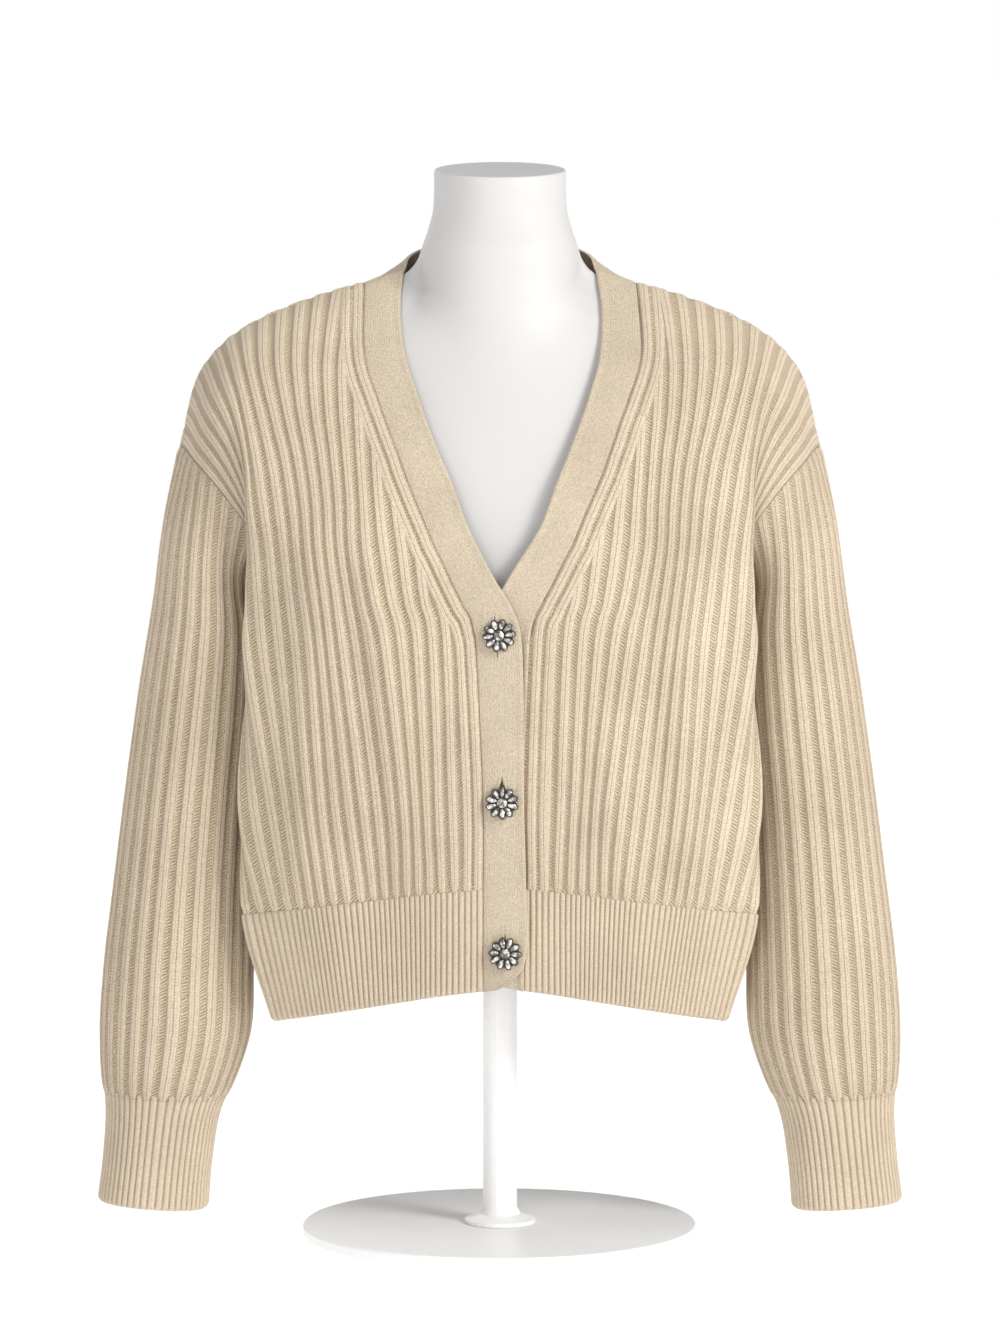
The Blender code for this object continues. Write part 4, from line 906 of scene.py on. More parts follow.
def follow_neck(thing, line, which, seam):
    """Turns the knit's map along the V neck. which: each point's nearest place on the line of the seam."""
    mesh = thing.data
    outer = len(which)
    along, far = np.zeros(len(mesh.vertices)), np.full(len(mesh.vertices), 100.0)
    along[:outer], far[:outer] = length_along(line)[which], seam.ravel()
    corner, size = read(mesh.loops, "vertex_index"), read(mesh.polygons, "loop_total")
    face = np.repeat(np.arange(len(size)), size)
    middle = (np.bincount(face, far[corner]) / size)[face]
    uv = np.empty(len(mesh.loops) * 2, np.float32)
    layer = mesh.uv_layers["knit"].data
    layer.foreach_get("uv", uv)
    uv = uv.reshape(-1, 2)
    centre = np.where(middle < 8.6, NECK_LINES[0], NECK_LINES[1])
    turned = np.stack((0.5 + (far[corner] - centre) / 11.0, along[corner] * 0.1), -1)
    uv[middle < 16.0] = turned[middle < 16.0]
    layer.foreach_set("uv", uv.ravel())


# %% Make both fronts
def make_front(name, left):
    """A front from the hem's seam to the shoulder and the V neck."""
    sheet, firsts = (LEFT, LEFT_FIRST) if left else (RIGHT, RIGHT_FIRST)
    columns = np.append(firsts[0], rib_columns(firsts[0], FRONT_RIBS, RIB_STEPS))
    columns[np.abs(columns - NECK_CORNER).argmin()] = NECK_CORNER
    t = front_levels(sheet, firsts, columns)
    i = np.repeat(columns[None], len(t), 0)
    line_t = np.append(np.linspace(0.7, 3, 120), np.linspace(3, 10, 260)[1:])
    points, out, line = sheet.point(i, t), sheet.outward(i, t), sheet.point(seam_rib(firsts, line_t), line_t)
    if left:
        points, line = push_back(points), push_back(line)
    out = settle(sheet, points, out, i, t, NECK_CORNER, (-1,))
    pull_in(points.swapaxes(0, 1), 0, 1)
    which, seam = nearest(points, line)
    seam = seam.reshape(t.shape)
    below = 1 - ease(points[..., 2], 436, 470)        # below the V the two lines are the first upright ribs
    seam = seam - 1.2 * below if left else seam * (1 + 0.17 * below)
    along = length_along(points)
    facts = {"rib": i, "low": along, "seam": seam, "flat": body_flat(points, i, t, FRONT_RIBS)}
    thing = knitted_wall(name, points, out, along, facts, mirror=1 if left else -1)
    follow_neck(thing, line, which, seam)
    run_nodes(thing, RAISE_RIBS, **BROAD_RIB)
    return finish_knit(thing)


front_right = make_front("front_right_knit", False)
front_left = make_front("front_left_knit", True)

# %% [markdown]
# ## The back
# The back is one grid from side seam to side seam, with the rib numbers counted from its middle.

# %% Make the back
TOP_ROWS = np.array((686, 688, 689.6, 690.8, 692))     # heights of the rows just below the neck


def make_back():
    """The back from the hem's seam to the shoulders and the neck."""
    hem_seam = BACK_ROWS[1][2]
    wanted = np.concatenate((hem_seam + CLOSE_ROWS, np.linspace(269, 684, 100), TOP_ROWS))
    levels = np.interp(wanted, [row[2] for row in BACK_ROWS], range(11))
    columns = np.append(-BACK_RIBS, rib_columns(-BACK_RIBS, BACK_RIBS, RIB_STEPS))[::-1]
    i, t = np.meshgrid(np.abs(columns), levels)
    points, out = BACK.point(i, t), BACK.outward(i, t)
    out = settle(BACK, points, out, i, t, NECK_RIB, (0, -1))
    along, flip = length_along(points), both_sides(columns)
    facts = {"rib": np.repeat(columns[None], len(t), 0), "low": along, "seam": 100.0,
             "flat": body_flat(points, i, t, BACK_RIBS)}
    thing = knitted_wall("back_knit", points * flip, out * flip, along, facts)
    run_nodes(thing, RAISE_RIBS, **BROAD_RIB)
    return finish_knit(thing)


back = make_back()

# %% [markdown]
# ## Sleeves and cuffs
# A sleeve is a tube with 26 broad ribs.  Its first ring is the armhole, and smooth curves run from there
# through the rings below it.  Beside the body its front falls back a little.  The cuff goes on as the same
# tube with two fine ribs for each broad one: one in line with it, and a new one that begins with a small
# arch in the valley beside it.

# %% Make the sleeves and cuffs
TURNS = (np.arange(SLEEVE_RIBS)[:, None] + RIB_STEPS).ravel() / SLEEVE_RIBS
CUFF_TURNS = (np.arange(CUFF_RIBS)[:, None] + FINE_STEPS).ravel() / CUFF_RIBS
FALL_IN = 8.0                         # how far the front of a sleeve falls back beside the body
FALL_TURN, FALL_HALF = 0.605, 0.11    # at which turn it does, and how far to each side of that
CUFF_EARLY = 5.0                      # the cuff starts this far above its ring


def loop_turns(turns):
    """Where the ribs start on the armhole: closer together at the top, so that they fall straight."""
    up = np.abs(1 - 2 * turns)
    up = up + 0.45 * up * (1 - up)
    return np.where(turns <= 0.5, (1 - up) / 2, (1 + up) / 2)


def rings_at(turns):
    """The sleeve's rings at the given turns, the armhole first."""
    rings = [round_loop(loop_points, loop_turns(turns))] + [sleeve_ring(row, turns) for row in SLEEVE_ROWS]
    rings = np.stack(rings)
    beside = 0.5 + 0.5 * np.cos(math.pi * np.clip((turns - FALL_TURN) / FALL_HALF, -1, 1))
    height = rings[..., 2].mean(1)
    amount = FALL_IN * ease(height, 130, 240) * (1 - ease(height, 470, 530))
    rings[1:, :, 1] += amount[1:, None] * beside
    return rings


RINGS, CUFF_RINGS = rings_at(TURNS), rings_at(CUFF_TURNS)
RING_RUN = length_along(RINGS.mean(1))
CUFF_RUN = RING_RUN[CUFF_LEVEL] - CUFF_EARLY


def tube_grid(runs, rings):
    """Points and outward directions of the sleeve's surface at distances below the armhole, going up."""
    points = curve(RING_RUN, rings, runs[::-1])
    around = np.roll(points, -1, 1) - np.roll(points, 1, 1)
    lower, upper = (curve(RING_RUN, rings, np.clip(runs[::-1] + d, 0, RING_RUN[-1])) for d in (1.0, -1.0))
    return points, unit(np.cross(around, upper - lower))


def make_sleeve(name, mirror):
    """A sleeve from its cuff up to the armhole."""
    runs = np.concatenate(((0, 0.7, 1.6, 2.8, 4.4), np.linspace(6.5, CUFF_RUN - 12, 102),
                           CUFF_RUN - np.array((9.5, 7.8, 6.3, 5.0, 3.9, 2.9, 2.1, 1.4, 0.8, 0.35, 0))))
    points, out = tube_grid(runs, RINGS)
    loop_way, across = round_loop(LOOP_OUT, loop_turns(TURNS)), round_loop(LOOP_ACROSS, loop_turns(TURNS))
    out = lean(out, unit(loop_way)[None], np.clip(1 - runs[::-1] / 9.0, 0, 1)[:, None, None])
    points[-1] += across * SEAM * 1.75
    pull_in(points, 0, 1)
    along = length_along(points)
    under = 0.5 - 0.5 * np.cos(2 * math.pi * TURNS)
    start = 0.35 + 0.65 * ease(runs[::-1], 0, 5)[:, None]
    close = 1 - 0.8 * under * (1 - ease(runs[::-1], 45, 95)[:, None])
    rib = np.repeat((TURNS * SLEEVE_RIBS)[None], len(runs), 0)
    facts = {"rib": rib, "low": along, "seam": 100.0, "flat": start * close}
    thing = knitted_wall(name, points, out, along, facts, closed=True, mirror=mirror)
    run_nodes(thing, RAISE_RIBS, **SLEEVE_RIB)
    return finish_knit(thing)


def soft_edge(points, out, along, radius=1.6):
    """Rounds the lower edge of a wall: the outer side curves in over the last few millimetres."""
    d = np.clip(1 - along / (radius * 1.4), 0, 1)
    return points - out * (radius * (1 - np.sqrt(1 - d * d)))[..., None]


def low_flat(along):
    """The share of its height that a fine rib keeps near the lower edge."""
    return 0.05 + 0.95 * ease(along, 0, 3.6)


def make_cuff(name, mirror):
    """A cuff from its lower edge up to the sleeve."""
    end = RING_RUN[-1]
    runs = np.concatenate((CUFF_RUN + np.array((0, 0.5, 1.2, 2.2, 3.5)), np.linspace(CUFF_RUN + 6, end - 6, 17),
                           end - np.array((4.2, 2.8, 1.9, 1.35, 0.9, 0.5, 0.2, 0))))
    points, out = tube_grid(runs, CUFF_RINGS)
    pull_in(points, -1, -2)
    along = length_along(points)
    rib = np.repeat((CUFF_TURNS * CUFF_RIBS + 0.5)[None], len(runs), 0)
    facts = {"rib": rib, "low": 100.0, "seam": 100.0, "flat": low_flat(along)}
    thing = knitted_wall(name, soft_edge(points, out, along), out, along, facts, closed=True, mirror=mirror)
    run_nodes(thing, RAISE_RIBS, **FINE_RIB)
    return finish_knit(thing)


sleeves = [make_sleeve("sleeve_left_knit", 1), make_sleeve("sleeve_right_knit", -1)]
cuffs = [make_cuff("cuff_left_knit", 1), make_cuff("cuff_right_knit", -1)]

# %% [markdown]
# ## The hem
# The hem is a deep band of narrow ribs that pulls the cloth in at the waist.  It is knitted on below the
# broad ribs, so it uses the same sheet between its two lowest levels.

# %% Make the three hem pieces
HEM_DEEP = 82.0


def make_hem(name, sheet, first, last, count):
    """A hem piece with count fine ribs below a sheet's broad ribs first to last."""
    fine = np.append(0.0, rib_columns(0, count, FINE_STEPS))
    columns = first + (last - first) * fine / count
    if sheet is BACK:
        columns, fine = columns[::-1], fine[::-1]
    rows = np.concatenate(((0, 0.2, 0.5, 0.9, 1.35, 1.9, 2.8, 4.2), np.linspace(6.2, HEM_DEEP - 6, 18),
                           HEM_DEEP - np.array((3.6, 2.2, 1.2, 0.5, 0))))
    i, t = np.meshgrid(np.abs(columns) if sheet is BACK else columns, rows / HEM_DEEP)
    points, out = sheet.point(i, t), sheet.outward(i, t)
    if sheet is LEFT:
        points = push_back(points)
    out = lean(out, np.array((1.0, 0, 0)), np.clip((i - last + 0.45) / 0.45, 0, 1)[..., None])
    pull_in(points, -1, -2)
    turned = points.swapaxes(0, 1)
    pull_in(turned, 0, 1)
    pull_in(turned, -1, -2)
    along = length_along(points)
    facts = {"rib": np.repeat(fine[None], len(rows), 0), "low": 100.0, "seam": 100.0,
             "flat": low_flat(along) * (0.55 + 0.45 * ease(along[-1:] - along, 0, 1.2))}
    flip = both_sides(columns) if sheet is BACK else np.ones(3)
    thing = knitted_wall(name, soft_edge(points, out, along) * flip, out * flip, along, facts,
                         mirror=-1 if sheet is RIGHT else 1)
    run_nodes(thing, RAISE_RIBS, **FINE_RIB)
    return finish_knit(thing)


hems = [make_hem("hem_front_right_knit", RIGHT, RIGHT_FIRST[0], FRONT_RIBS, HEM_RIBS_FRONT),
        make_hem("hem_front_left_knit", LEFT, LEFT_FIRST[0], FRONT_RIBS, HEM_RIBS_FRONT),
        make_hem("hem_back_knit", BACK, -BACK_RIBS, BACK_RIBS, HEM_RIBS_BACK)]

# %% [markdown]
# ## The button bands
# The band is a smooth, close strip, sewn on from hem to hem round the neck.  Its outer side swells a
# little between the seam and the free edge, and the free edge itself is a soft round roll.  Each row of
# the strip is one closed section, so that the strip is a flat tube with a cap at each end.

# %% Free edges of the bands
# level, x, y, z
BAND_EDGE = (
    (0, 1.0, -91, 192.5), (0.05, -5.0, -91.5, 196.5), (0.12, -11.2, -92.5, 201.5), (0.21, -16.2, -93.3, 208),
    (0.33, -18.4, -94, 216.5), (1, -18.6, -98, 265), (2, -17.0, -105, 331), (3, -14.8, -114, 448),
    (3.5, -8.6, -113.5, 468.5), (4, 3.2, -111, 488), (5, 22.0, -104, 524), (6, 34.0, -96, 556),
    (7, 47.5, -84, 587), (8, 59.5, -67, 620), (9, 69.5, -43, 654), (9.5, 72.0, -21, 680), (10, 70, 3, 706),
)
UNDER_EDGE = (
    (0, -10, -89, 196), (0.3, -10.5, -90, 214), (1, -10.5, -93.5, 265), (2, -10.5, -102.5, 331),
    (3, -10.5, -111, 448), (3.5, -6.0, -112, 468), (4, 5.0, -111, 488), (5, 27.5, -104, 524),
    (6, 40.0, -96, 556), (7, 52.5, -84, 587), (8, 64.5, -67, 620), (9, 72.5, -43, 654),
    (9.5, 73.2, -21, 680), (10, 70, 3, 706),
)
# rib, x, y, z
NECK_EDGE = ((0, 0, 70, 727), (3, 28, 67, 727), (5.5, 52, 53, 724), (7.6, 67, 30, 716), (9, 70, 3, 706))


def edge_line(table, at):
    return curve([row[0] for row in table], [row[1:] for row in table], at)


def section():
    """One closed section: (share of the width, millimetres more, height); free edge first, then the seam."""
    turns = np.radians((0, 22, 45, 68, 90))
    roll = [(0.0, 1.45 - 1.45 * math.cos(a), -0.55 + 1.35 * math.sin(a)) for a in turns]
    dip = [(0.0, 3.4, 0.62), (0.0, 4.6, 0.30)]
    across = [(f, 4.6 * (1 - f) - 1.6 * f, 0.2 + 3.2 * f * (1 - f)) for f in np.linspace(0.08, 0.94, 16)]
    seam = [(1.0, -1.1, 0.15), (1.0, -0.5, -0.12), (1.0, 0.0, -0.7), (1.0, 0.0, -1.9)]
    under = [(f, 1.2 * (1 - f), -2.0) for f in (0.8, 0.6, 0.4, 0.2)]
    return roll + dip + across + seam + under + [(0.0, 1.0, -1.9), (0.0, 0.25, -1.3)]


BAND_SECTION = np.array(section())
MIDDLE_HEIGHT = -0.6                  # of the section, which thins out towards this at a round end
ROUND_END = 1.6                       # how far from an end that shows the band thins out
WALE = 1.8                            # millimetres between the band's columns of stitches


def strip_of_band(name, seam_line, free_line, out, mirror=1, fuller=np.zeros(1), round_end=True):
    """A band from its seam line to its free edge, with rows along it. fuller: how much its seam side
    swells."""
    width = np.linalg.norm(seam_line - free_line, axis=1)
    seam_line = seam_line + unit(free_line - seam_line) * SEAM
    across = unit(seam_line - free_line)
    share, more, height = BAND_SECTION.T
    along = length_along((seam_line + free_line) / 2)
    ends = np.sqrt(1 - np.clip(1 - along / ROUND_END, 0, 1) ** 2)[:, None] if round_end else 1.0
    reach = share[None] * (width[:, None] - SEAM) + more[None]
    swell = np.clip((share - 0.87) / 0.09 * (height > -1), 0, 1)[None]
    level = (height[None] - MIDDLE_HEIGHT) * ends + MIDDLE_HEIGHT + fuller[:, None] * swell
    points = free_line[:, None] + across[:, None] * reach[..., None] + out[:, None] * level[..., None]
    mesh = mesh_of(name, points, tube_faces(*points.shape[:2]), mirror)
    write_map(mesh, (reach / WALE).ravel(), np.repeat(along * 0.1, len(share)))
    mesh.materials.append(BAND_YARN)
    return finish_knit(placed(name, mesh), 50)


def make_band(name, left):
    """A button band from the hem's edge up to the shoulder seam."""
    sheet, firsts = (LEFT, LEFT_FIRST) if left else (RIGHT, RIGHT_FIRST)
    t = np.concatenate(((0, 0.004, 0.009, 0.015, 0.022, 0.032), np.linspace(0.05, 1, 26)[:-1],
                        np.linspace(1, 2, 24)[:-1], np.linspace(2, 3, 34)[:-1], np.linspace(3, 10, 126)))
    i = seam_rib(firsts, t)
    seam_line, out = sheet.point(i, t), sheet.outward(i, t)
    free_line = edge_line(UNDER_EDGE if left else BAND_EDGE, t)
    if left:
        seam_line, free_line = push_back(seam_line), push_back(free_line)
    out = lean(out, unit(out * (1, 0, 1)), np.clip((t - 9.8) / 0.2, 0, 1)[:, None])
    for line in (seam_line, free_line):
        line[-1, 1] -= SEAM
    if left:                          # the under band is fuller below the V, where the front lies over it
        return strip_of_band(name, seam_line, free_line, out, 1, 2.3 * (1 - ease(t, 2.9, 3.7)))
    return strip_of_band(name, seam_line, free_line, out, -1)


def make_neck_band():
    """The band round the back of the neck, from one shoulder seam to the other."""
    k = np.linspace(-NECK_RIB, NECK_RIB, 109)[::-1]
    i, flip = np.abs(k), both_sides(k)
    seam_line, free_line, out = BACK.point(i, 10.0), edge_line(NECK_EDGE, i), BACK.outward(i, 10.0)
    corner = unit(RIGHT.outward(NECK_CORNER, 10.0) * (1, 0, 1))
    out = lean(out, corner, np.clip((i - NECK_RIB + 0.5) / 0.5, 0, 1)[:, None])
    for line in (seam_line, free_line):
        line[[0, -1], 1] += SEAM
    return strip_of_band("band_neck_knit", seam_line * flip, free_line * flip, out * flip, round_end=False)


band_right, band_left = make_band("band_right_knit", False), make_band("band_left_knit", True)
band_neck = make_neck_band()

# %% [markdown]
# ## The dress form
# The form is hard and smooth, with a round neck and a flat, slightly tilted cap.  The CAD solid has the
# right shape but 38 flat sides, so its rings of points are read back and joined by smooth curves.

# %% Make the form
FORM_SIDES, FINER = 38, 4
FORM_TOP, NECK_FOOT = 764, 650        # the rings end at the first height, and lie closer from the second on
CAP_LEVEL = 770                       # the rings of the solid above this belong to its cap
NECK_HALF_WIDTH, NECK_HALF_DEPTH = 47.8, 50.0
NECK_TOP, NECK_TILT, NECK_ROUND = 779.4, math.radians(7.0), 1.6


def form_rings():
    """The CAD solid's rings of points, lowest first, each starting at its left side."""
    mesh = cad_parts["dress_form"].data
    places = np.empty(len(mesh.vertices) * 3, np.float32)
    mesh.vertices.foreach_get("co", places)
    places = np.unique(np.round(places.reshape(-1, 3) / MM, 2), axis=0)
    rings = []
    for z in np.unique(places[:, 2]):
        ring = places[places[:, 2] == z]
        if len(ring) == FORM_SIDES and z < CAP_LEVEL:
            angle = np.arctan2(ring[:, 1] - ring[:, 1].mean(), ring[:, 0]) + math.pi / FORM_SIDES
            rings.append(ring[np.argsort(np.mod(angle, 2 * math.pi))])
    return np.array(rings)


def neck_profile():
    """Inset and drop of the neck's last rings: up the side, round the rim and over the flat cap."""
    turns = np.radians((-12, 12, 35, 58, 80, 90))
    rim = [(NECK_ROUND * (1 - math.cos(turn)), NECK_ROUND * (1 - math.sin(turn))) for turn in turns]
    return [(0.05, 7.0), (0.02, 3.6)] + rim + [(NECK_ROUND * 4, -0.1), (22.0, -0.5), (36.0, -0.7)]


def make_form():
    """The form as one closed solid of fine rings, lowest first."""
    rings = form_rings()
    print("form rings", rings.shape)
    heights = rings[:, 0, 2]
    body, neck = np.linspace(heights[0], NECK_FOOT, 60), np.linspace(NECK_FOOT, FORM_TOP, 76)
    rings = curve(heights, rings, np.unique(np.concatenate((body, neck))))
    wide = np.concatenate((rings[:, -3:], rings, rings[:, :3]), 1).swapaxes(0, 1)
    sides = FORM_SIDES * FINER
    rings = curve(range(-3, FORM_SIDES + 3), wide, np.arange(sides) / FINER).swapaxes(0, 1)
    for _ in range(2):                # even out the small dents where the solid was kept clear of the knit
        rings = (np.roll(rings, 1, 1) + 2 * rings + np.roll(rings, -1, 1)) / 4
        rings[1:-1] = (rings[:-2] + 2 * rings[1:-1] + rings[2:]) / 4
    angle = 2 * math.pi * np.arange(sides) / sides
    top = []
    for inset, drop in neck_profile():
        x, y = (NECK_HALF_WIDTH - inset) * np.cos(angle), (NECK_HALF_DEPTH - inset) * np.sin(angle)
        top.append(np.stack((x, y, NECK_TOP - drop + y * math.tan(NECK_TILT)), -1))
    middle = rings[0].mean(0)
    bottom = [middle + (rings[0] - middle) * share for share in (0.3, 0.8, 0.97)]
    points = np.array(bottom + list(rings) + top)
    mesh = mesh_of("dress_form_body", points, tube_faces(len(points), sides))
    mesh.shade_smooth()
    mesh.set_sharp_from_angle(angle=math.radians(50))
    mesh.materials.append(painted("white_form_paint", (0.61, 0.60, 0.595), 0.5))
    return placed(mesh.name, mesh)


form = make_form()

# %% [markdown]
# ## Jewelled buttons
# Each button is a flower: ten long stones in dark silver settings round one round stone.  One petal is
# made once, and a node tree sets copies of it round the middle.  The settings and the stones are two
# pieces, because they are two materials.

# %% Petals and stones
PETAL_POINT = 0.1922                  # how much a petal narrows towards the middle of the flower


def petal(length, width, count):
    """A pear outline along x: round at the outer end, pointed at the middle of the flower."""
    turns = [2 * math.pi * k / count for k in range(count)]
    return [(0.5 * length * math.cos(a), 0.5 * width * math.sin(a) * (1 - PETAL_POINT * (1 - math.cos(a))))
            for a in turns]


def disc(radius, count):
    return [(radius * math.cos(2 * math.pi * k / count), radius * math.sin(2 * math.pi * k / count))
            for k in range(count)]


def solid(name, rings, smooth):
    """An object that only the node trees use: a closed solid from rings of points, lowest first."""
    mesh = mesh_of(name, rings, tube_faces(len(rings), len(rings[0])))
    if smooth:
        mesh.shade_smooth()
    else:
        mesh.shade_flat()
    return bpy.data.objects.new(name, mesh)


def layered(name, outline, layers, smooth=True):
    """An outline at each layer's share of its size, and at the layer's height."""
    return solid(name, [[(x * size, y * size, height) for x, y in outline] for size, height in layers], smooth)


petal_setting = layered("petal_setting", petal(8.6, 5.95, 20),
                        ((0.9, 0.7), (1.0, 1.1), (1.0, 2.35), (0.93, 2.75), (0.84, 2.7), (0.8, 2.1)))
petal_stone = layered("petal_stone", petal(7.2, 4.45, 10), ((0.8, 1.9), (1.0, 2.55), (0.74, 3.15), (0.40, 3.4)),
                      smooth=False)
middle_setting = layered("middle_setting", disc(4.1, 28),
                         ((0.95, 0.3), (1.0, 0.9), (1.0, 2.9), (0.94, 3.3), (0.85, 3.2), (0.82, 2.6)))
middle_stone = layered("middle_stone", disc(3.45, 12), ((0.8, 2.2), (1.0, 3.05), (0.78, 3.75), (0.48, 4.05)),
                       smooth=False)
back_plate = layered("back_plate", disc(10.0, 40),
                     ((0.6, 0.0), (0.96, 0.1), (1.0, 0.5), (0.97, 0.95), (0.5, 1.15)))
bead = layered("setting_bead", disc(0.62, 8), ((0.5, 2.2), (0.95, 2.6), (1.0, 3.0), (0.8, 3.35), (0.35, 3.55)))


# %% The node tree that sets petals round a middle
def join(tree, *parts):
    """One geometry from several."""
    joined = put(tree, "GeometryNodeJoinGeometry")
    for part in parts:
        plug(joined.node.inputs[0], part)
    return joined


def points_at(tree, count, *place):
    """So many points, each at its own x, y and z."""
    line = put(tree, "GeometryNodeMeshLine", count)
    return put(tree, "GeometryNodeSetPosition", line, None, put(tree, "ShaderNodeCombineXYZ", *place))


def copies_on(tree, places, thing, turn, size=None):
    """Copies of an object on points, turned by three angles."""
    shape = put(tree, "GeometryNodeObjectInfo", thing).out("Geometry")
    spin = put(tree, "FunctionNodeEulerToRotation", put(tree, "ShaderNodeCombineXYZ", *turn))
    return put(tree, "GeometryNodeInstanceOnPoints", places, Instance=shape, Rotation=spin, Scale=size)


def flower_tree():
    """Petals and beads round a base, set upright at a place."""
    tree, get = node_group("petals round a middle", "GeometryNodeTree", {
        "Base": "Geometry", "Petal": "Object", "Bead": "Object", "Petals": 10, "Petal radius": 0.0077,
        "Bead radius": 0.0098, "Bead size": 1.0, "Turn": 0.0, "Lean": 0.12, "Place": "Vector",
        "Finish": "Material",
    }, {"Flower": "Geometry"})
    step = 2 * math.pi / get["Petals"]
    angle = put(tree, "GeometryNodeInputIndex") * step + get["Turn"]

    def wheel(part, radius, shift, spread, size=None):
        """Copies of a part on a circle, each pointing outwards, leaning by a small random amount."""
        random = put(tree, "FunctionNodeRandomValue", -1.0, 1.0, Seed=7, data_type="FLOAT")
        turn = angle + step * shift + random * spread
        x, y = maths("COSINE", turn) * radius, maths("SINE", turn) * radius
        places = points_at(tree, get["Petals"], x, y, 0.0)
        return copies_on(tree, places, part, (random * get["Lean"], 0.0, turn), size)

    petals = wheel(get["Petal"], get["Petal radius"], 0.0, 0.05)
    beads = wheel(get["Bead"], get["Bead radius"], 0.5, 0.0, get["Bead size"])
    upright = put(tree, "GeometryNodeTransform", join(tree, get["Base"], petals, beads), get["Place"],
                  Rotation=(math.radians(90), 0, 0))
    return close_tree(tree, upright, get["Finish"])


FLOWER = flower_tree()

# %% Silver and stone
SILVER, silver, shader = material("antique_silver", Base_Color=(0.30, 0.29, 0.28), Roughness=0.35, Metallic=1.0)
tarnish = noise(put(silver, "ShaderNodeTexCoord").out("Object"), 900.0, 4.0)
worn = (put(silver, "ShaderNodeNewGeometry").out("Pointiness") - 0.5) * 6.0 + tarnish
fill(shader, Roughness=step_up(tarnish, 0.3, 0.7, 0.28, 0.5),
     Base_Color=ramp(worn, (0.42, (0.006, 0.005, 0.0042)), (0.66, (0.02, 0.017, 0.0135)),
                     (0.95, (0.14, 0.127, 0.108))))

CRYSTAL, stone, shader = material("clear_stone", Base_Color=(0.8, 0.8, 0.8), Roughness=0.05, Metallic=0.5,
                                  Coat_Weight=0.6)
place = put(stone, "ShaderNodeTexCoord").out("Object")
facets = put(stone, "ShaderNodeTexVoronoi", Vector=place, Scale=480.0)
# the stones' base colour is dark and bright patches by noise: painted reflections of their facets
fill(shader, Normal=relief(facets, 0.0006),
     Base_Color=ramp(noise(place, 300.0, 1.0), (0.40, (0.13, 0.12, 0.108)), (0.50, (0.44, 0.42, 0.40)),
                     (0.62, (0.78, 0.76, 0.735))))


# %% Make the buttons
def joined(name, *parts):
    """One mesh object from several loose ones."""
    verts, faces, smooth = [], [], []
    for part in parts:
        base = len(verts)
        verts += [v.co[:] for v in part.data.vertices]
        faces += [[base + v for v in f.vertices] for f in part.data.polygons]
        smooth += [f.use_smooth for f in part.data.polygons]
    mesh = bpy.data.meshes.new(name)
    mesh.from_pydata(verts, [], faces)
    mesh.polygons.foreach_set("use_smooth", smooth)
    return placed(name, mesh)


def button_middle(number):
    """Where a button's middle lies, on the CAD solid's back plane."""
    low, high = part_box("button_%d" % number)
    return (low[0] + high[0]) / 2, high[1], (low[2] + high[2]) / 2


def make_button(number, turn):
    """A button's settings and its stones."""
    pieces = []
    for label, base, part, size, finish in (
            ("setting", (back_plate, middle_setting), petal_setting, 1.0, SILVER),
            ("stones", (middle_stone,), petal_stone, 0.0, CRYSTAL)):
        thing = joined("button_%d_%s" % (number, label), *base)
        run_nodes(thing, FLOWER, Petal=part, Bead=bead, Bead_size=size, Turn=turn, Place=button_middle(number),
                  Finish=finish)
        thing.data.set_sharp_from_angle(angle=math.radians(35))
        pieces.append(thing)
    return pieces


buttons = [make_button(n, turn) for n, turn in ((1, 0.1), (2, 0.32), (3, 0.55))]
print("button stones have", len(buttons[0][1].data.polygons), "faces")

# %% [markdown]
# ## Buttonholes
# A buttonhole is an upright slit edged with close stitches of the same yarn.  Where a button pulls on it,
# the slit opens a little above the button.  The stitches are small rounded bars that a node tree lays
# down both sides of the slit, dropped onto the band's own surface with a Raycast node.

# %% The node tree that edges a slit with stitches
IN_FRONT, RAY_LENGTH = -0.3, 0.4      # rays start at this y and run backwards
OPENS_OVER = 0.62                     # the slit widens over this share of its length


def slit_tree():
    """Two rows of stitches along an upright slit, laid on the cloth."""
    tree, get = node_group("stitches round a slit", "GeometryNodeTree", {
        "Ends": "Geometry", "Stitch": "Object", "Cloth": "Object", "Stitches": 14, "Middle": 0.0, "Top": 0.3,
        "Length": 0.018, "Opening": 0.0016, "Lip": 0.0011, "Lean": 0.35, "Finish": "Material",
    }, {"Slit": "Geometry"})
    share = put(tree, "GeometryNodeInputIndex") / (get["Stitches"] - 1.0)
    gape = step_up(share, 0.0, OPENS_OVER) * get["Opening"]
    z = get["Top"] - share * get["Length"]
    target = put(tree, "GeometryNodeObjectInfo", get["Cloth"]).out("Geometry")
    sides = []
    for side in (-1.0, 1.0):
        line = points_at(tree, get["Stitches"], get["Middle"] + (gape + get["Lip"]) * side, IN_FRONT, z)
        ray = put(tree, "GeometryNodeRaycast", target, Ray_Direction=(0, 1, 0), Ray_Length=RAY_LENGTH)
        line = put(tree, "GeometryNodeSetPosition", line, None, ray.out("Hit Position"))
        sides.append(copies_on(tree, line, get["Stitch"], (0.0, get["Lean"] * side, 0.0)))
    return close_tree(tree, join(tree, *sides, get["Ends"]), get["Finish"])


SLIT = slit_tree()
STITCH_YARN = painted("buttonhole_yarn", (0.70, 0.60, 0.46), 0.85, grain=2600.0, depth=0.0002, mottle=0.2)
